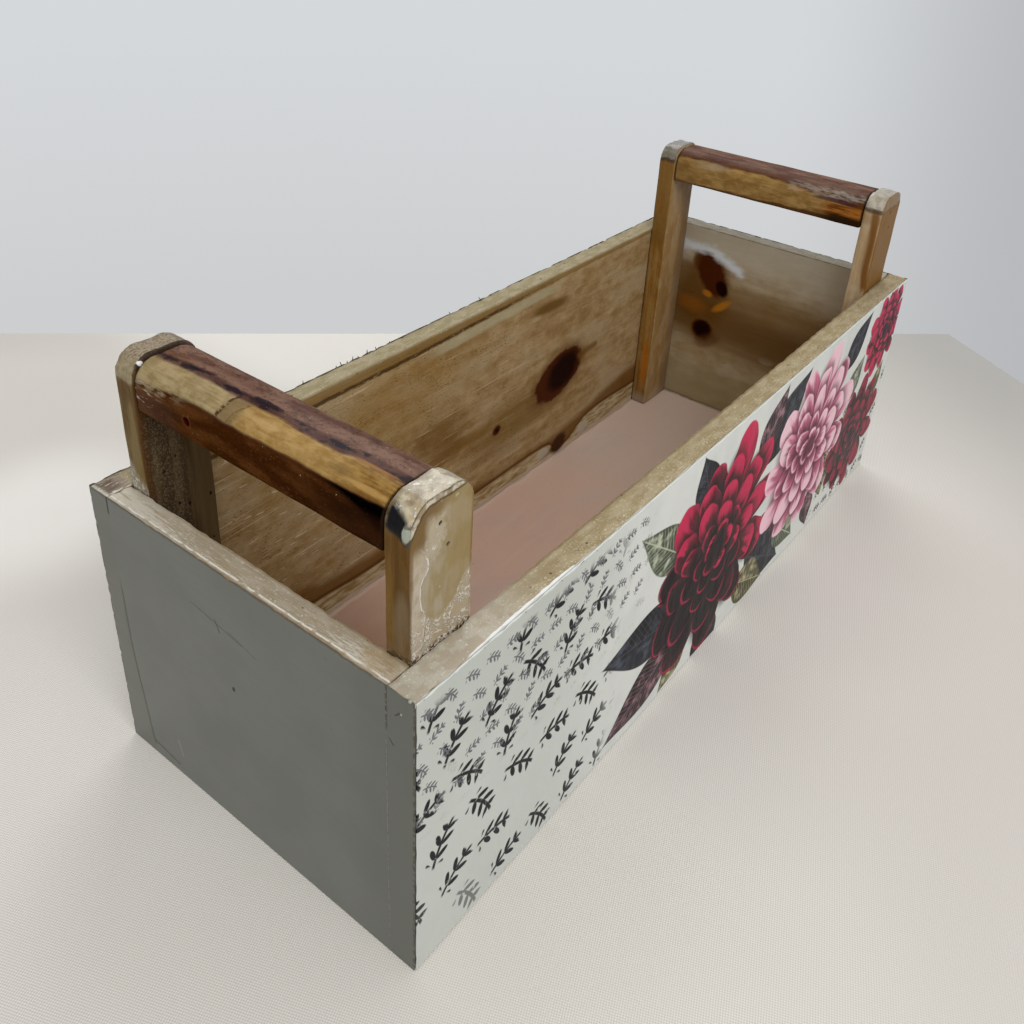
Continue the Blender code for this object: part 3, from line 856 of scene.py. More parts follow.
slat.lay(film * slat.fade(smear, 0.3, 0.6) * 0.75, colour=(184, 172, 154), rough=0.28, height=0.12)
edge_strength = slat.fade(smear, 0.38, 0.5) * slat.window(z, 122, 157, 2)
slat.lay(front_face * slat.line(ridge, 0.2, 0.4) * edge_strength, colour=(208, 200, 186), height=0.3)
crumple = slat.noise(x / 4.2, 1.0, z / 4.8, roughness=0.55)
glue_line = slat.trace(x, (-187, 131), (-182, 133), (-176, 129.5), (-170, 131), (-165, 137), (-160, 141))
glue = front_face * slat.fade(z - glue_line + (mottled - 0.5) * 8, 1.2, -1.2)
slat.lay(glue * 0.55, colour=(176, 162, 142), rough=0.22)
folds = slat.line(crumple - 0.5, 0.012, 0.016) + slat.line(crumple - 0.42, 0.01, 0.014)
slat.lay(glue * slat.lesser(folds, 1.0) * 0.9, colour=(208, 200, 186), height=0.35)
crumbs = slat.noise(x / 1.1, y / 1.1, z / 1.1, detail=2)
foot = slat.window(z + mottled * 3, 118.6, 122.4, 0.8)
slat.lay(foot * slat.fade(crumbs, 0.5, 0.6), colour=(84, 54, 30), height=-0.2)
slat.lay(foot * slat.fade(crumbs, 0.46, 0.38) * 0.8, colour=(206, 198, 182), height=0.25)
flecks = slat.spots(x / 4.5, 3.0, z / 6, 0.1, 0.5)
slat.lay(front_face * flecks * slat.fade(z, 166, 160) * 0.8, colour=(206, 200, 188), height=0.2)
side_veil = slat.oval(y, z, (-61.2, 132), (3.6, 13), 0.08) + mottled
slat.lay(side_face * slat.fade(side_veil, 1.7, 1.0) * 0.6, colour=(126, 108, 84), rough=0.35)
slat.lay(side_face * slat.fade(y, -63.0, -63.9) * 0.5, colour=(74, 52, 26))
slat.lay(side_face * slat.fade(z, 126, 122) * 0.6, colour=(122, 102, 74))
over = 1.0 - front_face
level = z - slat.trace(y, (-65, 166.0), (-61, 165.0), (-58, 166.5), (-55, 167.5), (-54, 168))
level = level + (mottled - 0.5) * 4
lump, hollow = glaze(slat, over, level, 0.0, (192, 181, 156), (134, 118, 88), (160, 134, 78))
# painted highlights: near-white patches on the glaze's top, also raised a little as lumps
thick = slat.noise(x / 2.2, y / 2.2, z / 2.2 + 4, roughness=0.55)
slat.lay(
    over * slat.fade(level, 0.6, 1.6) * slat.fade(thick, 0.58, 0.68) * 0.7, colour=(226, 221, 212),
    height=0.4,
)
stain_level = z + (mottled - 0.5) * 4 - (y + 60) * 0.6
stained = over * slat.fade(x, -181.5, -184.5) * slat.window(stain_level, 161.0, 168.0, 1.0)
slat.lay(stained * slat.fade(y + lump * 3, -60.8, -62.2), colour=(74, 70, 68), rough=0.2)
black_run = stained * slat.fade(y + lump * 3, -62.0, -60.4)
slat.lay(black_run, colour=(9, 9, 15), rough=0.4, height=0.2, varnish=0.1)
upper_front = front_face * slat.fade(z, 154, 160)
dusky = upper_front * slat.fade(depth + (mottled - 0.5) * 4, 7.5, 3.8)
dusky_colour = slat.blend(slat.fade(x, -179, -167), (110, 84, 46), (142, 124, 84))
slat.lay(dusky * 0.9, colour=dusky_colour)
lip = depth + (lump - 0.5) * 1.6 + slat.fade(z, 167, 161) * 2.2
arris_stain = front_face * slat.fade(x + mottled, -184.2, -185.2) * slat.fade(z, 138, 148)
slat.lay(arris_stain * 0.75, colour=(114, 90, 54))
lipped = front_face * slat.fade(z, 160, 161)
lip_colour = slat.blend(slat.fade(hollow, 0.42, 0.58), (190, 180, 158), (140, 124, 96))
# painted shadow: a dark band just under the glaze's lip on the front face
slat.lay(lipped * slat.fade(lip, 2.7, 2.0) * 0.75, colour=(80, 62, 44))
slat.lay(lipped * slat.fade(lip, 1.9, 1.5), colour=lip_colour, height=0.3, varnish=0.9)
drop = slat.oval(y, z, (-62.8, 165.0), (1.5, 4.2), 0.15) + (lump - 0.5)
slat.lay(side_face * slat.fade(drop, 1.1, 0.8) * 0.8, colour=(176, 182, 166), rough=0.15, height=0.4)
brown_edge = over * slat.fade(y, -56.4, -55.2) * slat.fade(z, 160, 166)
slat.lay(brown_edge * slat.fade(hollow, 0.4, 0.55) * 0.8, colour=(120, 100, 66), height=0.2)
chips = slat.spots(x / 5, z / 4, 5.0, 0.2, 0.4)
slat.lay(front_face * chips * slat.fade(z, 166.5, 168.5) * 0.8, colour=(190, 188, 166), height=0.2)
dress(posts["front_left_post"], slat.done(), "glazed_slat", "front_left_post")

# near back post
slat, streaks, fibres, mottled = stained_slat(
    "near_back_post", 7.0, (112, 94, 60), (84, 64, 32), (112, 98, 70)
)
x, y, z = slat.x, slat.y, slat.z
side_face = slat.fade(x, -185.4, -186.1)
inner_face = slat.fade(y, 55.9, 55.3)
side_colour = slat.blend(
    slat.fade(mottled * 0.3 + streaks * 0.4 + fibres * 0.3, 0.42, 0.58), (88, 64, 26), (122, 102, 60)
)
slat.lay(side_face * 0.8, colour=side_colour, rough=0.4)
amber_y = slat.trace(z, (120, 53.8), (130, 54.8), (143, 55.6), (155, 56.6), (164, 58.5))
amber = slat.fade(abs(y - amber_y) + (streaks - 0.5) * 3, 1.9, 0.7) * slat.fade(z, 164.5, 162)
slat.lay(side_face * amber * 0.85, colour=(94, 62, 20), rough=0.34)
brown_top = slat.window(z + mottled * 5, 158, 165, 2)
slat.lay(side_face * brown_top * 0.6, colour=(86, 60, 26))
white_foot = slat.fade(z + (mottled - 0.5) * 16 - (y - 60) * 0.9, 131, 122)
slat.lay(side_face * white_foot * 0.7, colour=(168, 163, 148), rough=0.5)
chalk = slat.noise(x / 1.4, y / 1.4, z / 1.6, roughness=0.65)
chalky = side_face * slat.fade(z - (y - 60) * 0.8, 128, 121) * slat.fade(chalk, 0.5, 0.6)
slat.lay(chalky, colour=(206, 203, 192), height=0.1)
# dark brown stain, darkened further as painted shade where the grip bar shades the inner face
inner_stain_and_shade = slat.blend(slat.fade(streaks, 0.4, 0.6), (64, 48, 28), (84, 68, 46))
slat.lay(inner_face, colour=inner_stain_and_shade, rough=0.5)
slat.lay(inner_face * slat.fade(x, -183.2, -184.6), colour=(72, 46, 20))
dust = slat.noise(x / 0.6, y / 0.6, z / 0.7, detail=2, roughness=0.6)
dusting = inner_face * slat.window(x + mottled * 6, -182, -168, 3) * slat.fade(dust, 0.5, 0.6)
slat.lay(dusting * 0.45, colour=(118, 108, 92), height=0.05)
paler = inner_face * slat.fade(x + mottled * 6, -168, -162)
slat.lay(paler * 0.6, colour=(96, 78, 50))
pores = slat.spots(x / 4, 1.0, z / 6, 0.13, 0.6)
slat.lay(inner_face * pores, colour=(30, 18, 8), height=-0.2)
level = z - 163.2 + (mottled - 0.5) * 5
top_mask = 1.0 - inner_face * 0.9
top_cloud = slat.fade(chalk * 0.4 + fibres * 0.3 + mottled * 0.3, 0.4, 0.6)
slat.lay(
    top_mask * slat.fade(level, -0.8, 0.8),
    colour=slat.blend(top_cloud, (128, 114, 86), (154, 142, 116)),
    rough=0.42,
    height=0.2,
)
taupe = slat.fade(z, 169.2, 170.6)
slat.lay(taupe * 0.75, colour=slat.blend(slat.fade(fibres, 0.4, 0.6), (112, 96, 78), (156, 142, 122)))
# painted shade: a dark line in the gap where the grip bar meets the post
gap_shade_and_glint = slat.fade(y, 56.4, 56.0) * slat.window(x, -184.5, -162, 0.8) * slat.fade(z, 165, 166.5)
slat.lay(gap_shade_and_glint * 0.9, colour=(44, 30, 20), height=-0.2)
# painted glint: a white spot where light shows through the gap
chip = slat.oval(x, z, (-182.6, 169.0), (0.9, 0.8)) + (chalk - 0.5) * 1.4
slat.lay(gap_shade_and_glint * slat.fade(chip, 1.2, 0.8), colour=(226, 224, 218), height=0.2)
back_side = slat.fade(x, -168, -163) * slat.fade(z, 163, 167)
slat.lay(back_side * 0.7, colour=(94, 74, 64))
dress(posts["back_left_post"], slat.done(), "glazed_slat", "back_left_post")

# far back post
slat, streaks, _, mottled = stained_slat(
    "far_back_post", 14.0, (152, 116, 62), (124, 86, 32), (150, 122, 76)
)
x, y, z = slat.x, slat.y, slat.z
side_face = slat.fade(x, 161.4, 160.8)
upper = slat.fade(z + mottled * 10, 112, 124)
slat.lay(side_face * upper * 0.7, colour=(112, 80, 34), rough=0.35)
orange = slat.oval(y, z, (58.6, 34), (2.0, 16), 0.0) + (streaks - 0.5)
slat.lay(side_face * slat.fade(orange, 1.3, 0.7) * 0.85, colour=(172, 102, 26))
slat.dab(z + mottled * 8, 18, 10, 0.7, colour=(152, 138, 122), rough=0.5)
slat.dab(y, 64.0, 64.7, 0.7, colour=(92, 72, 58))
inner_face = slat.fade(y, 55.9, 55.3)
slat.lay(inner_face * 0.6, colour=slat.blend(slat.fade(mottled, 0.4, 0.6), (158, 128, 84), (174, 148, 112)))
slat.lay(inner_face * slat.fade(x, 172, 184) * 0.6, colour=(108, 88, 68))
level = z - 163.0 + (mottled - 0.5) * 4
over = 1.0 - inner_face * 0.8
glaze(slat, over, level, 14.0, (124, 116, 102), (100, 91, 76), (112, 95, 66))
dress(posts["back_right_post"], slat.done(), "glazed_slat", "back_right_post")

# far front post
slat, streaks, _, mottled = stained_slat(
    "far_front_post", 21.0, (184, 160, 128), (166, 140, 104), (188, 170, 146)
)
x, y, z = slat.x, slat.y, slat.z
front_face = slat.fade(y, -63.7, -64.2)
slat.lay(front_face * 0.95, colour=(122, 86, 36), rough=0.42)
side_face = slat.fade(x, 161.6, 160.9)
run_y = slat.trace(z, (118, -64.0), (124, -63.0), (132, -62.0), (150, -62.0), (164, -60.5))
run = slat.fade(abs(y - run_y) + (streaks - 0.5) * 2, 2.9, 0.7) * slat.window(z, 120, 163, 3)
slat.lay(side_face * run * 0.9, colour=(108, 66, 14), rough=0.35)
slat.lay(side_face * slat.window(z + mottled * 4, 158, 164, 2) * 0.5, colour=(128, 96, 50))
over = 1.0 - front_face * 0.8
level = z - 163.5 + (mottled - 0.5) * 3
glaze(slat, over, level, 21.0, (178, 172, 156), (150, 138, 118), (160, 142, 108))
dress(posts["front_right_post"], slat.done(), "glazed_slat", "front_right_post")


# Grip bars: round-shouldered bars between the posts, stained dark. Wear has taken the stain off the
# shoulder, where the bare wood shows golden.
grip_voxel = 0.0008
grip_ease = 0.0005
grip_wave = 0.00015
grip_wave_size = 0.015
side_hole_across = 0.0285
side_hole_up = 0.0066
side_hole_width = 0.0033
side_hole_depth = 0.005
bars = {}
for end in ("left", "right"):
    node = f"{end}_grip_bar"
    low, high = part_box(node)
    bar = shouldered_slat("dressed_" + node, low, high, post_shoulder, grip_ease)
    even_skin(bar, grip_voxel)
    for vertex in bar.data.vertices:
        vertex.co += noise.noise_vector(vertex.co / grip_wave_size) * grip_wave
    if end == "left":
        mouth = (low.x, side_hole_across, low.z + side_hole_up)
        drill(bar, mouth, (1, 0, 0), side_hole_width, side_hole_depth)
    bars[node] = bar


def dark_grip(name, middle, base, seed):
    """Dark brown stain over grain that runs along the bar. Also gives the angle round the bar's base."""
    grip = Finish(name, (80, 48, 30), 0.42, 0.0)
    x, y, z = grip.x, grip.y, grip.z
    around = grip.maths("ARCTAN2", x - middle, z - base) * (180 / math.pi)
    fibres = grip.noise(x * 1.1, y / 11 + seed, z * 1.1, detail=4, roughness=0.65)
    stain = grip.noise(x / 5, y / 16 + seed, z / 5)
    soft = grip.noise(x / 9, y / 9, z / 9 + seed, detail=2)
    side = grip.blend(grip.fade(stain, 0.36, 0.64), (58, 29, 8), (82, 48, 21))
    top = grip.blend(grip.fade(stain, 0.38, 0.62), (92, 62, 50), (122, 92, 76))
    grip.colour = grip.blend(grip.fade(around, -42, -20), side, top)
    pores = grip.noise(x / 0.8, y / 1.4 + seed, z / 0.8, roughness=0.65)
    grip.dab(pores, 0.44, 0.32, 0.55, colour=(34, 16, 8), height=-0.05)
    grip.dab(pores, 0.6, 0.7, 0.35, colour=(120, 88, 62))
    grip.dab(abs(around), 50, 15, varnish=0.14)
    grip.dab(fibres, 0.56, 0.42, height=-0.03)
    grip.dab(soft, 0.3, 0.7, height=0.2)
    return grip, around, fibres, stain, soft


# left grip bar
grip, around, fibres, _, soft = dark_grip("left_grip", -173.4, 153.5, 0.0)
x, y, z = grip.x, grip.y, grip.z
waver = (soft - 0.5) * 5 + (fibres - 0.5) * 4
upper = grip.trace(
    y, (-55, -13), (-50, -11), (-38, -10), (-28, -14.5), (-16, -13.6), (0, -12), (12, -13), (24, -10.6),
    (42, -12.4), (50, -15), (55, -12)
)
lower = grip.trace(
    y, (-55, -39), (-34, -40.5), (-8, -41), (8, -41), (24, -40), (36, -42), (46, -45), (55, -45.5)
)
gold_mask = grip.fade(around - upper + waver, 2.6, -2.6) * grip.fade(around - lower + waver * 0.5, -2.4, 2.8)
dirt = grip.noise(x / 3, y / 5, z / 3, detail=4, roughness=0.6)
khaki = grip.blend(grip.fade(fibres * 0.4 + dirt * 0.6, 0.36, 0.64), (134, 115, 78), (164, 145, 108))
golden = grip.blend(grip.fade(fibres * 0.4 + dirt * 0.6, 0.36, 0.64), (140, 108, 58), (169, 139, 88))
amber = grip.blend(grip.fade(fibres * 0.5 + dirt * 0.5, 0.38, 0.62), (112, 78, 34), (146, 114, 62))
gold = grip.blend(grip.fade(y + soft * 8, 16, 8), khaki, golden)
gold = grip.blend(grip.fade(y + soft * 10, -22, -40), gold, amber)
grip.lay(gold_mask, colour=gold, rough=0.34)
thumb = grip.oval(y, around, (-34, -28), (5, 6)) + soft
grip.lay(gold_mask * grip.fade(thumb, 1.7, 1.0) * 0.5, colour=(96, 76, 42))
crack_y = y - 11.5 + (around + 26) * 0.06 + (soft - 0.5) * 4
grip.lay(gold_mask * grip.window(crack_y, -4.2, 3.2, 1.0) * 0.6, colour=(106, 84, 52))
dashes = grip.fade(grip.noise(x, y / 2, z, detail=2), 0.44, 0.54)
ring_crack = grip.line(crack_y - 3.0, 0.35, 0.5) * dashes * grip.window(around, -50, -6, 3)
grip.lay(ring_crack * 0.85, colour=(60, 36, 20), height=-0.15)
grip.lay(
    grip.line(crack_y + 2.2 + (around + 30) * 0.1, 0.2, 0.4) * gold_mask * dashes * 0.7, colour=(92, 64, 34)
)
border = grip.fade(abs(around - lower + waver * 0.5 + 2.2), 3.6, 0.8)
grip.lay(border * 0.5, colour=(54, 26, 12))
top_strip = grip.window(around - upper + waver, 0.4, 11.0, 3.0)
grip.lay(top_strip * 0.6, colour=(56, 30, 28))
blot = grip.noise(x / 4, y / 7, z / 4)
grip.lay(top_strip * grip.fade(blot, 0.48, 0.6) * 0.85, colour=(26, 13, 18), rough=0.3)
fine_blot = grip.noise(x / 1.6, y / 2.6, z / 1.6, roughness=0.6)
upper_top = grip.fade(around, -10, -4)
grip.lay(upper_top * grip.fade(fine_blot * 0.6 + blot * 0.4, 0.5, 0.6) * 0.4, colour=(48, 27, 26))
pale_scuff = upper_top * grip.fade(fine_blot, 0.42, 0.34) * grip.fade(y, 30, 60)
grip.lay(pale_scuff * 0.5, colour=(132, 112, 100))
blots = (
    ((38, -4), (3.2, 2.6)), ((18.5, -6), (4.4, 3.2)), ((6, -1.5), (5.6, 4.2)), ((-27.5, -5), (4.2, 3.4)),
)
for centre, radii in blots:
    out = grip.oval(y, around, centre, radii) + (blot - 0.5) * 2.4
    grip.dab(out, 1.3, 0.7, 0.9, colour=(20, 12, 24), rough=0.25)
ginger = grip.oval(y, around, (47, 0), (8, 7)) + (blot - 0.5) * 3
grip.dab(ginger, 1.3, 0.6, 0.25, colour=(122, 82, 52))
streak = grip.oval(y, around, (-43, -10), (8, 2.0)) + (fibres - 0.5) * 2
grip.dab(streak, 1.2, 0.7, 0.7, colour=(150, 104, 54))
bright = grip.oval(y, around, (-46, -33), (9, 2.6)) + (fibres - 0.5) * 2
grip.dab(bright, 1.3, 0.6, 0.7, colour=(178, 142, 84))
pale = grip.oval(y, around, (-3, -25), (7, 3.5)) + (fibres - 0.5) * 2
grip.dab(pale, 1.3, 0.6, 0.6, colour=(180, 150, 102))
soot_reach = grip.trace(y, (-55, -66), (-50, -58), (-44, -52), (-34, -46), (-24, -43.5), (0, -42))
soot = grip.window(around - soot_reach, 0.0, 34, 5) * grip.fade(around - lower + waver * 0.5, 0.4, -2.4)
grip.lay(soot * grip.fade(y, -18, -36), colour=(2, 1, 1), rough=0.35)
low_end = grip.fade(y + soft * 20, 4, -40) * grip.fade(around, -46, -56)
grip.lay(low_end * 0.75, colour=(34, 17, 10))
grey_veil = grip.fade(y + soft * 14, 36, 54) * grip.fade(around, -46, -54)
grip.lay(grey_veil * 0.3, colour=(104, 80, 66), rough=0.3)
brushed = grip.noise((z + x) * 0.9, (y + z * 0.4) / 5, 3.0, detail=2)
near_rub = grip.fade(y, 38, 50) * grip.window(around, -72, -42, 5)
grip.lay(near_rub * grip.fade(brushed, 0.56, 0.66) * 0.8, colour=(176, 162, 146), height=0.06)
specks = grip.fade(grip.noise(x / 0.9, y / 1.1, z / 0.9 + 7, detail=2), 0.71, 0.76)
speckled = grip.fade(around, -12, -4) * grip.fade(y, 12, 2)
speckled = speckled + grip.window(around, -54, -41, 3) * grip.fade(y, 4, -4)
grip.lay(specks * grip.lesser(speckled, 1.0) * 0.8, colour=(176, 176, 152), rough=0.3, height=0.15)
few_specks = grip.fade(grip.noise(x / 0.9, y / 1.2 + 3, z / 0.9, detail=2), 0.76, 0.8)
grip.lay(few_specks * 0.7, colour=(190, 182, 166), height=0.1)
shoulder_rub = grip.window(around - lower, -7, 4, 4) * grip.fade(y + soft * 8, 28, 46)
grip.lay(shoulder_rub * grip.fade(brushed * 0.5 + dirt * 0.5, 0.44, 0.56) * 0.7, colour=(146, 128, 100))
ring = grip.fade(abs(grip.oval(y, z, (28.5, 160.1), (2.0, 2.0)) - 1.0), 0.3, 0.1) * grip.fade(x, -184, -186)
grip.lay(ring * 0.6, colour=(96, 52, 30), height=0.1)
# painted shade: the walls inside the drilled hole are dark
hole = grip.fade(grip.oval(y, z, (28.5, 160.1), (1.7, 1.7)), 1.05, 0.95) * grip.fade(x, -186.0, -185.6)
grip.lay(hole, colour=(60, 16, 8))
end_shade = grip.fade(abs(y - 0.3), 53.4, 54.1)
grip.lay(end_shade * 0.8, colour=(40, 26, 18), height=-0.3)
dress(bars["left_grip_bar"], grip.done(), "dark_stained_grip", "left_grip_bar")

# right grip bar
grip, around, fibres, stain, soft = dark_grip("right_grip", 173.4, 152.2, 33.0)
x, y, z = grip.x, grip.y, grip.z
waver = (soft - 0.5) * 9 + (fibres - 0.5) * 6
upper = grip.trace(y, (-55, -58), (-40, -50), (-20, -43), (0, -38), (20, -38), (40, -37), (55, -40))
lower = grip.trace(y, (-55, -74), (-30, -78), (0, -82), (30, -84), (55, -86))
gold_mask = grip.fade(around - upper + waver, 3.0, -2.0) * grip.fade(around - lower + waver, -4.0, 3.0)
dirt = grip.noise(x / 3, y / 7, z / 3, detail=4, roughness=0.6)
gold = grip.blend(grip.fade(fibres * 0.35 + dirt * 0.65, 0.38, 0.62), (134, 102, 54), (166, 134, 82))
grip.lay(gold_mask * 0.85, colour=gold, rough=0.34)
low_brown = grip.fade(around - lower + waver, 3.0, -4.0)
grip.lay(low_brown * 0.8, colour=(84, 56, 28))
purple = grip.window(around + waver, -34, -12, 5)
grip.lay(purple * 0.4, colour=(78, 52, 46))
orange_end = grip.fade(y + soft * 8, -24, -34) * grip.window(around, -75, -52, 4)
grip.lay(orange_end * 0.9, colour=grip.blend(grip.fade(fibres, 0.42, 0.58), (96, 48, 12), (156, 96, 36)))
sooty = grip.fade(y + soft * 8, -20, -36) * grip.fade(around + waver * 0.5, -66, -74)
grip.lay(sooty * 0.9, colour=(34, 20, 10))
grey_rub = grip.oval(y, around, (-35, -37), (20, 9)) + (stain - 0.5) * 2.4
rub_grain = grip.noise(x, y / 4, z)
rubbed = grip.fade(grey_rub, 1.6, 0.5) * grip.fade(rub_grain, 0.26, 0.66)
grip.lay(rubbed * 0.7, colour=(154, 144, 132), rough=0.3, height=0.04)
dark_band = grip.oval(y, around, (-40, -48), (12, 3.4)) + (stain - 0.5) * 2
grip.dab(dark_band, 1.3, 0.7, 0.8, colour=(66, 36, 40))
pale_rub = grip.oval(y, around, (30, -42), (10, 6)) + (stain - 0.5) * 2
grip.dab(pale_rub, 1.6, 0.4, 0.5, colour=(146, 130, 110))
back_end = grip.fade(y + soft * 8, 40, 52) * grip.fade(around, -34, -44)
grip.lay(back_end * 0.5, colour=(104, 76, 38))
# painted shade at the bar's ends, where they meet the posts
grip.dab(abs(y - 0.3), 53.2, 54.1, 0.8, colour=(44, 28, 18), height=-0.3)
dress(bars["right_grip_bar"], grip.done(), "dark_stained_grip", "right_grip_bar")


# Pins: plain steel panel pins, dulled and brown with age, their heads set just below the wood.
pin_steel = Finish("aged_steel", (92, 84, 76), 0.5)
rust = pin_steel.noise(pin_steel.x * 2, pin_steel.y * 2, pin_steel.z * 2)
pin_steel.dab(rust, 0.45, 0.6, colour=(70, 42, 24), rough=0.8)
pin_steel.shader.inputs["Metallic"].default_value = 0.8
pin_finish = pin_steel.done()
for node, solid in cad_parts.items():
    if "_pin_" in node:
        solid.data.materials.clear()
        solid.data.materials.append(pin_finish)


# Paint: both ends and the back are brushed with a satin grey-green paint. It lies as a thin film over the
# boards' faces and end grain, ragged along its edges, and it has cracked open along the joints.
film = 0.00018
film_pitch = 0.0015
chip_size = 0.0035
chip_depth = 0.0014
nibble_size = 0.0028
nibble_depth = 0.0012
edge_band = 0.0006
end_x, paint_front, paint_back, paint_top = 0.196, -0.0751, 0.0753, 0.12
faces = {
    "left_end_paint": ((-end_x - film, paint_front, 0.0), (-end_x, paint_back, paint_top)),
    "right_end_paint": ((end_x, paint_front, 0.0), (end_x + film, paint_back, paint_top)),
    "back_paint": ((-end_x, paint_back, 0.0), (end_x, paint_back + film, paint_top)),
}
coats = {}
for name, (low, high) in faces.items():
    coat = squared_piece(name, low, high, film * 0.3, film_pitch, segments=1)
    across = 0 if name == "back_paint" else 1
    for vertex in coat.data.vertices:
        chip = max(0.0, noise.noise(vertex.co / chip_size) - 0.05)
        if vertex.co.z > paint_top - 0.0005:
            vertex.co.z -= chip * chip_depth
        nibble = max(0.0, noise.noise(vertex.co / nibble_size) - 0.02) * nibble_depth
        if high[across] - vertex.co[across] < edge_band:
            vertex.co[across] -= nibble
        if vertex.co[across] - low[across] < edge_band:
            vertex.co[across] += nibble
    coats[name] = coat


def satin_paint(name, across_axis):
    """Grey-green satin paint with faint level brush marks, a little paler low down."""
    paint = Finish(name, (107, 110, 103), 0.34, 0.2)
    across = paint.x if across_axis == "x" else paint.y
    z = paint.z
    brushed = paint.noise(across / 34, z / 2.4, 0.0)
    broad = paint.noise(across / 26, z / 26, 4.0)
    paint.dab(brushed, 0.42, 0.7, 0.3, colour=(113, 116, 108), height=0.02)
    paint.dab(broad, 0.42, 0.62, 0.5, colour=(102, 105, 98), rough=0.38)
    paint.dab(z + broad * 30, 58, 10, 0.6, colour=(112, 115, 108))
    dust = paint.spots(across / 6, z / 6, 1.0, 0.06, 0.3)
    paint.lay(dust, height=0.12)
    worn = paint.noise(across / 2.2, z / 2.2, 2.0)
    paint.lay(paint.fade(z + worn * 3, 2.6, 1.2) * paint.fade(worn, 0.46, 0.54), colour=(146, 142, 128))
    paint.dab(z + worn * 1.6, 119.6, 120.4, 0.8, colour=(86, 80, 70))
    return paint, across, z, broad, worn


# near end
paint, y, z, broad, worn = satin_paint("near_end_paint", "y")
groove_y = paint.trace(
    z, (0, 60.6), (4, 60.6), (7, 61.4), (19, 62.3), (43, 64.5), (60, 65.5), (80, 65.3), (100, 65.2),
    (120, 65.1),
)
groove = abs(y - groove_y + (broad - 0.5) * 1.4)
groove_reach = paint.fade(z, 3.6, 5.2) * paint.fade(z + worn * 6, 90, 80)
paint.lay(paint.fade(groove, 1.5, 0.2) * groove_reach * 0.55, colour=(92, 92, 82), height=-0.15)
paint.lay(paint.fade(groove, 0.4, 0.1) * groove_reach * 0.75, colour=(70, 68, 58), height=-0.25)
top_mark = paint.fade(groove, 0.6, 0.2) * paint.fade(z, 112, 114)
paint.lay(top_mark, colour=(46, 42, 36), height=-0.3)
foot_line = paint.stroke(y, z, (60.6, 6.6), (46, 4.4)) + (worn - 0.5) * 0.8
paint.dab(foot_line, 0.7, 0.2, 0.7, colour=(62, 60, 52), height=-0.25)
outer_strip = paint.fade(y - groove_y, 0.2, 1.2)
paint.lay(outer_strip * 0.35, colour=(104, 104, 94))
seam = y + 64.35 + (worn - 0.5) * 0.35
paint.dab(abs(seam), 0.9, 0.15, 0.5, colour=(96, 96, 86), height=-0.1)
paint.lay(paint.line(seam - 0.25, 0.06, 0.16) * paint.fade(worn, 0.44, 0.52) * 0.8, colour=(154, 154, 142))
dashes = paint.noise(1.0, z / 1.6, 6.0, detail=2)
upper_seam = paint.fade(z + worn * 6, 104, 108) * paint.fade(dashes, 0.42, 0.5)
paint.lay(paint.line(seam, 0.2, 0.25) * upper_seam * 0.95, colour=(40, 36, 30), height=-0.3)
corner_strip = paint.fade(y, -64.6, -65.4)
paint.lay(corner_strip * 0.5, colour=(102, 104, 96))
paint.dab(y, -44, -62, 0.5, colour=(96, 99, 92))
marks = (
    ((23.4, 98.5), (-1.5, 94.5), 0.12, 0.55),
    ((11.3, 97.9), (9.4, 93.4), 0.16, 0.8),
    ((4.5, 96.6), (-8.0, 93.0), 0.1, 0.4),
    ((-69.4, 112.6), (-67.8, 110.8), 0.18, 0.8),
    ((-65.5, 100.2), (-66.9, 98.6), 0.18, 0.8),
)
for start, end, half, strength in marks:
    away = paint.stroke(y, z, start, end) + (worn - 0.5) * 0.4
    paint.lay(paint.fade(away, half + 0.28, half) * strength, colour=(62, 62, 54), height=-0.1)
light_scratch = paint.stroke(y, z, (44.4, 18.4), (42.6, 10.8))
paint.dab(light_scratch, 0.4, 0.15, 0.7, colour=(156, 156, 146), height=-0.1)
speck = paint.oval(y, z, (5.5, 71.0), (0.7, 1.1), 0.3)
paint.dab(speck, 1.2, 0.8, colour=(44, 42, 38), height=0.1)
rough_side = paint.fade(abs(y - 0.1) + worn * 2.0, 75.3, 75.9)
paint.lay(rough_side * paint.fade(worn, 0.44, 0.52), colour=(78, 72, 60))
dress(coats["left_end_paint"], paint.done(), "painted_end")

# far end and back
paint, y, _, broad, _ = satin_paint("far_end_paint", "y")
for joint in (-64.7, 65.3):
    crack = abs(y - joint + (broad - 0.5) * 1.2)
    paint.dab(crack, 0.4, 0.1, 0.7, colour=(70, 68, 58), height=-0.25)
dress(coats["right_end_paint"], paint.done(), "painted_end")
paint, x, z, _, _ = satin_paint("back_face_paint", "x")
grain = paint.noise(x / 60, z / 1.6, 3.0)
paint.dab(grain, 0.6, 0.42, height=-0.05)
back_knot = paint.oval(x, z, (74, 57), (17, 8), 0.2)
paint.dab(back_knot, 1.1, 0.9, 0.3, colour=(104, 106, 96), height=-0.12)
dress(coats["back_paint"], paint.done(), "painted_end")


# Torn fibres: dark slivers that the saw left standing along the back board's outer arris, and one on the
# near back post, all caught in the paint. Two small drops of the paint have dried on the near corner.
def joined(pieces, name):
    """Join small pieces into one, with its origin at the world's."""
    bpy.ops.object.select_all(action="DESELECT")
    for piece in pieces:
        piece.select_set(True)
    bpy.ops.object.join()
    whole = bpy.context.object
    whole.name = whole.data.name = name
    bpy.ops.object.transform_apply(location=True, rotation=True, scale=True)
    return whole


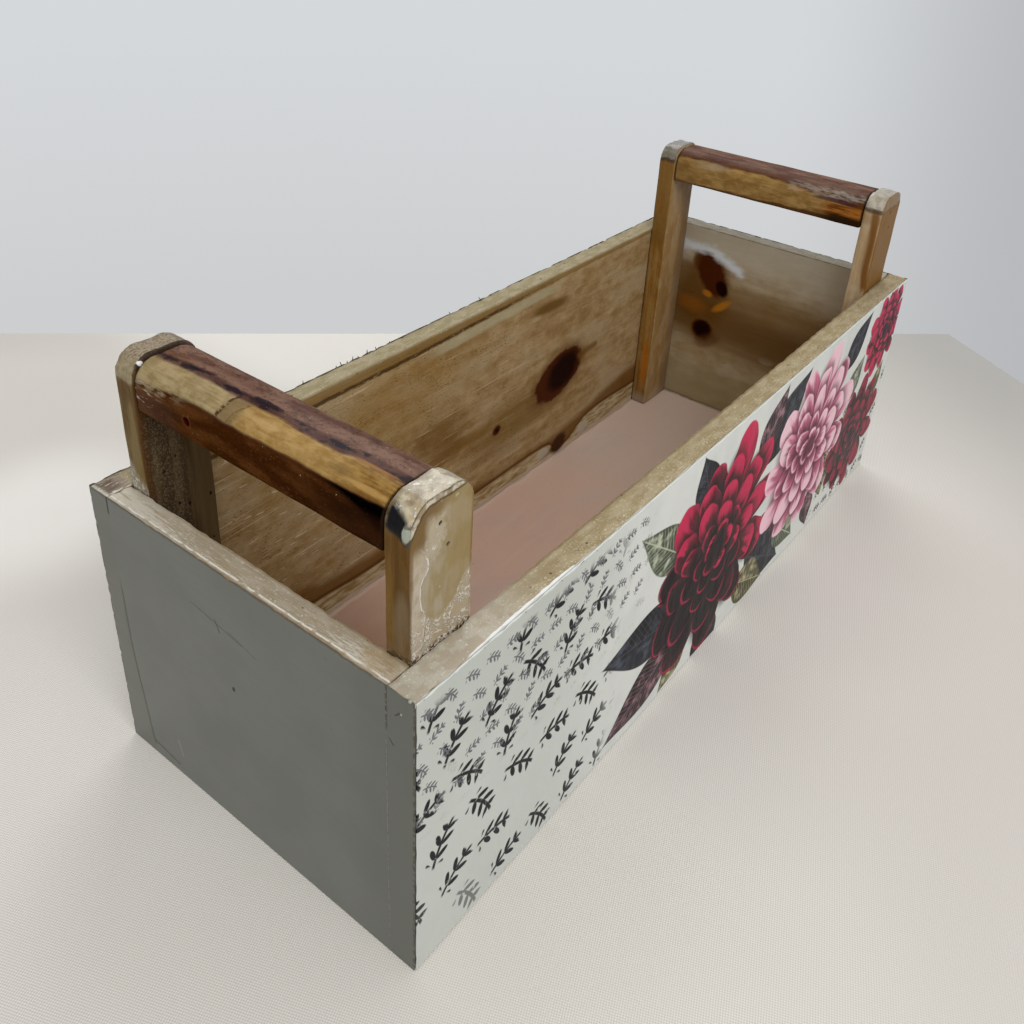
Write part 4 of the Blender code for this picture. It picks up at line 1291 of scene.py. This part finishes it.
fibres_at = (
    (-0.1002, 0.0013), (-0.0819, 0.0011), (-0.0790, 0.0018), (-0.0755, 0.0009), (-0.0722, 0.0017),
    (-0.0688, 0.0008), (-0.0636, 0.0017), (-0.0582, 0.0011), (-0.0494, 0.0006), (-0.0087, 0.0011),
    (0.0136, 0.0015),
)
fibre_width = 0.00032
fibre_sunk = 0.0006
slivers = []
for number, (place, tall) in enumerate(fibres_at):
    lean = noise.noise((number * 1.7, 2.3, 0.4))
    bpy.ops.mesh.primitive_cone_add(
        vertices=8,
        radius1=fibre_width,
        radius2=fibre_width * 0.35,
        depth=tall + fibre_sunk,
        location=(place, 0.0751, paint_top + tall / 2 - fibre_sunk / 2),
        rotation=(-0.35 + lean * 0.5, lean * 1.4, 0),
    )
    slivers.append(bpy.context.object)
bpy.ops.mesh.primitive_cone_add(
    vertices=8, radius1=fibre_width, radius2=0.0001, depth=0.0042, location=(-0.1712, 0.0662, 0.1523),
    rotation=(math.radians(-118), 0, 0),
)
slivers.append(bpy.context.object)
torn = joined(slivers, "torn_fibres")
fibre = Finish("torn_fibre", (62, 54, 44), 0.6, 0.2)
tufts = fibre.noise(fibre.x * 2, fibre.y * 2, fibre.z / 0.4, detail=2)
fibre.dab(tufts, 0.45, 0.6, colour=(92, 88, 78))
dress(torn, fibre.done(), "stained_pine")

drops = []
for place, width in (((-0.1961, -0.0733, 0.1199), 0.0013), ((-0.1961, -0.0700, 0.1126), 0.0008)):
    bpy.ops.mesh.primitive_uv_sphere_add(segments=20, ring_count=12, radius=width / 2, location=place)
    drops.append(bpy.context.object)
beads = joined(drops, "dried_drops")
bead = Finish("dried_drops", (150, 152, 142), 0.25)
bead.dab(bead.noise(bead.x, bead.y, bead.z, detail=2), 0.4, 0.6, 0.5, colour=(128, 130, 120))
dress(beads, bead.done(), "painted_end")


# Paper: a printed sheet glued over the whole front board and varnished. Big many-petalled flowers and
# leaves stand on a pale ground, with rows of small ink sprigs at the left and low on the right.
paper_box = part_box("front_paper")
paper_ease = 0.00006
paper_pitch = 0.002
fray_size = 0.004
top_fray = 0.0009
side_fray = 0.0004
sheet = squared_piece("dressed_front_paper", *paper_box, paper_ease, paper_pitch, segments=1)
for vertex in sheet.data.vertices:
    if vertex.co.z > 0.1193:
        vertex.co.z -= max(0.0, noise.noise(vertex.co / fray_size)) * top_fray
    if abs(vertex.co.x) > 0.1953:
        nibble = max(0.0, noise.noise(vertex.co / fray_size)) * side_fray
        vertex.co.x -= math.copysign(nibble, vertex.co.x)
printed = Finish("printed_sheet", (212, 214, 209), 0.34, 0.06)
x, z = printed.x, printed.z
mottle = printed.noise(x / 22, 0.0, z / 22)
wash = printed.noise(x / 9, 3.0, z / 9)
printed.dab(mottle, 0.42, 0.64, 0.7, colour=(200, 204, 199))
# painted shade: the paper darkens towards the near end
printed.dab(x + mottle * 40, -50, -120, 0.7, colour=(186, 190, 184))
# painted shade: darker again at the top of the near part
printed.lay(
    printed.fade(z + mottle * 30, 70, 130) * printed.fade(x, -60, -150) * 0.5, colour=(176, 180, 170)
)
printed.dab(wash, 0.58, 0.72, 0.35, colour=(192, 196, 187))
ripples = printed.noise(x / 14, 5.0, z / 26)
printed.dab(ripples, 0.3, 0.7, height=0.22)
grain = printed.noise(x / 0.7, 1.0, z / 0.7, detail=1)
printed.dab(grain, 0.4, 0.6, height=0.012)


def sprigs(finish, x, z, across, up, size, seed, ink, mask):
    """Rows of small sprigs: a bent stem in each place with leaflets in pairs, printed unevenly."""
    row = finish.maths("FLOOR", z / up)
    shifted = x / across + row * 0.37
    column = finish.maths("FLOOR", shifted)
    chance = finish.add(
        "ShaderNodeTexWhiteNoise", {"noise_dimensions": "3D"}, {"Vector": finish.point(column, row, seed)},
        output=0,
    )
    p = (shifted - column - 0.5) * across
    q = (z / up - row - 0.5) * up
    bend = chance * 2.4 - 1.2
    cosine, sine = finish.maths("COSINE", bend), finish.maths("SINE", bend)
    along = p * cosine + q * sine
    aside = abs(q * cosine - p * sine + along * along * (0.16 / size))
    within = finish.fade(abs(along), size, size * 0.85)
    stem = finish.fade(aside, 0.1 * size, 0.05 * size)
    pitch = size * 0.52
    place = finish.maths("PINGPONG", along - aside * 0.7, pitch / 2)
    leaflet = finish.oval(place, aside, (0.0, size * 0.26), (size * 0.15, size * 0.24))
    leaf_reach = finish.fade(abs(along), size * 0.8, size * 0.7)
    shape = finish.greater(stem * within, finish.fade(leaflet, 1.1, 0.85) * leaf_reach)
    worn_ink = finish.fade(finish.noise(x / 3, seed, z / 3), 0.28, 0.4)
    sown = finish.fade(chance, 0.06, 0.1)
    finish.lay(shape * worn_ink * sown * mask, colour=ink)


class Stencil(Finish):
    """A motif that is drawn once and printed in several places: a node group that gives a colour."""

    def __init__(self, name, numbers, colours):
        self.tree = bpy.data.node_groups.new(name, "ShaderNodeTree")
        for title in numbers:
            self.tree.interface.new_socket(title, in_out="INPUT", socket_type="NodeSocketFloat")
        for title in colours:
            self.tree.interface.new_socket(title, in_out="INPUT", socket_type="NodeSocketColor")
        self.tree.interface.new_socket("Colour", in_out="OUTPUT", socket_type="NodeSocketColor")
        entry = self.tree.nodes.new("NodeGroupInput")
        self.given = [Wire(self, socket) for socket in list(entry.outputs)[:-1]]

    def done(self):
        way_out = self.tree.nodes.new("NodeGroupOutput")
        self.plug(way_out.inputs[0], self.colour)
        return self.tree


# a pointed leaf, with a pale rib and side veins, darker round its edge
leaf = Stencil("leaf", ("along", "aside", "length", "width"), ("under", "dark", "light"))
along, aside, length, width, leaf.colour, dark, light = leaf.given
swell = leaf.maths("SINE", leaf.lesser(leaf.greater(along, 0.0), 1.0) ** 0.8 * math.pi) ** 1.25
edge = abs(aside) - swell * width
shape = leaf.fade(edge, 0.35, -0.35) * leaf.window(along, 0.0, 1.0, 0.01)
veins = leaf.maths("PINGPONG", along * length - abs(aside) * 1.1, 1.7)
shade = leaf.noise(along * length / 5, length, aside / 5)
body = leaf.blend(leaf.fade(shade + aside / width * 0.06, 0.46, 0.74), dark, light)
body = leaf.blend(leaf.fade(veins, 0.45, 0.1) * 0.5, body, light)
body = leaf.blend(leaf.fade(abs(aside), 0.5, 0.15) * 0.7, body, light)
body = leaf.blend(leaf.fade(edge, -1.8, -0.1) * 0.6, body, dark)
leaf.lay(shape, colour=body)
leaf_print = leaf.done()

# a full flower seen from above: rings of petals, deep at the foot and light at the tip
flower = Stencil("flower", ("u", "v", "seed", "dark"), ("under", "deep", "middle", "light"))
u, v, seed, dark, flower.colour, deep, middle, light = flower.given
warp_u = (flower.noise(u * 2, seed, v * 2, detail=2) - 0.5) * 0.22
warp_v = (flower.noise(u * 2, seed + 5, v * 2, detail=2) - 0.5) * 0.22
u, v = u + warp_u, v + warp_v
out = (u * u + v * v) ** 0.5
angle = flower.maths("ARCTAN2", v, u) / (2 * math.pi) + 0.5
hairs = flower.noise(angle * 60, out * 2, seed, detail=2)
rings = ((1.0, 11, 0.0), (0.8, 10, 0.5), (0.6, 9, 0.2), (0.4, 7, 0.6), (0.22, 5, 0.1))
for number, (reach, count, turn) in enumerate(rings):
    turned = angle * count + seed * 0.37 + turn
    petal = flower.maths("FLOOR", turned)
    phase = abs(turned - petal - 0.5) * 2
    place = flower.point(petal, number + seed, 0.0)
    tone = flower.add("ShaderNodeTexWhiteNoise", {"noise_dimensions": "2D"}, {"Vector": place})
    edge = (1.0 - phase**2.6 * 0.36) * (tone * 0.1 + 0.94) * reach
    if number:
        flower.dab(out - edge, 0.14, -0.02, 0.75, colour=deep)
    rise = flower.fade(out / edge - dark + (hairs - 0.5) * 0.34 + (tone - 0.5) * 0.4, 0.42, 0.98)
    body = flower.blend(rise, deep, middle)
    body = flower.blend(flower.fade(rise + hairs * 0.5 - phase * 0.45, 0.75, 1.15) * 0.85, body, light)
    body = flower.blend(flower.fade(phase, 0.72, 1.0) * 0.75, body, deep)
    lip = flower.window(edge - out, 0.008, 0.03, 0.01) * flower.fade(phase, 0.9, 0.5)
    body = flower.blend(lip * 0.5, body, light)
    flower.dab(out - edge, 0.01, -0.01, colour=body)
flower_print = flower.done()

ink = (18, 18, 26)
left_part = printed.fade(x + mottle * 30, -68, -82)
sprigs(printed, x, z, 20.0, 20.5, 9.6, 3.0, ink, left_part * printed.fade(z, 116, 110))
faint_part = printed.fade(x + mottle * 30, -50, -64) * printed.fade(z, 60, 74)
sprigs(printed, x + 5, z + 3, 9.5, 10.0, 3.9, 9.0, (104, 104, 108), faint_part)
right_part = printed.fade(x + mottle * 30, 122, 138) * printed.fade(z, 70, 60)
sprigs(printed, x, z, 11.0, 11.5, 4.8, 5.0, (56, 50, 52), right_part)

navy = ((10, 10, 20), (66, 72, 84))
olive = ((62, 60, 30), (186, 178, 140))
sage = ((60, 72, 54), (190, 194, 170))
plum = ((26, 10, 20), (150, 112, 120))
leaves = (
    ((30, 30), (76, 4), 15, navy), ((28, 80), (70, 116), 14, navy), ((-10, 20), (6, -16), 12, navy),
    ((-30, 40), (-96, 54), 14, navy), ((-30, 28), (-88, 6), 13, plum), ((-34, 70), (-78, 104), 11, sage),
    ((-24, 20), (-44, 1), 9, olive), ((20, 20), (58, 2), 12, olive), ((30, 44), (74, 22), 13, navy),
    ((24, 84), (44, 118), 11, plum), ((-22, 88), (-34, 118), 10, navy), ((62, 30), (92, 8), 10, sage),
    ((118, 92), (146, 118), 10, navy), ((114, 48), (126, 14), 11, olive), ((132, 66), (150, 92), 9, sage),
    ((104, 28), (112, 2), 8, plum), ((176, 52), (188, 74), 7, olive),
)
for (foot_x, foot_z), (tip_x, tip_z), width, (dark, light) in leaves:
    run, rise = tip_x - foot_x, tip_z - foot_z
    length = math.hypot(run, rise)
    along = (x - foot_x) * (run / length**2) + (z - foot_z) * (rise / length**2)
    aside = (z - foot_z) * (run / length) - (x - foot_x) * (rise / length)
    sockets = dict(enumerate((along, aside, length, width, printed.colour, dark, light)))
    printed.colour = printed.add("ShaderNodeGroup", {"node_tree": leaf_print}, sockets)
crimson = ((14, 3, 9), (104, 8, 36), (200, 30, 80))
rose = ((84, 14, 44), (206, 108, 142), (238, 204, 212))
wine = ((12, 2, 9), (70, 6, 28), (150, 20, 56))
flowers = (
    ((-6, 58), 56, 2.0, crimson), ((158, 38), 36, 12.0, wine),
    ((90, 64), 52, 7.0, rose), ((176, 96), 27, 17.0, crimson),
)
low_side = printed.fade(x * 0.5 + z + mottle * 50, 100, 40)
for (centre_x, centre_z), radius, seed, shades in flowers:
    dark = 0.0 if shades is rose else low_side * 0.55
    places = ((x - centre_x) / radius, (z - centre_z) / radius, seed, dark)
    sockets = dict(enumerate((*places, printed.colour, *shades)))
    printed.colour = printed.add("ShaderNodeGroup", {"node_tree": flower_print}, sockets)
torn_line = printed.noise(x / 6, 2.0, 3.0, detail=4) * 3
printed.dab(z + torn_line, 120.2, 121.0, 0.85, colour=(222, 225, 222), rough=0.55)
rub = printed.noise(x / 3, 8.0, z / 3, detail=4, roughness=0.6)
printed.dab(rub, 0.7, 0.76, 0.4, colour=(214, 216, 210), rough=0.45)
dress(sheet, printed.done(), "printed_paper", "front_paper")
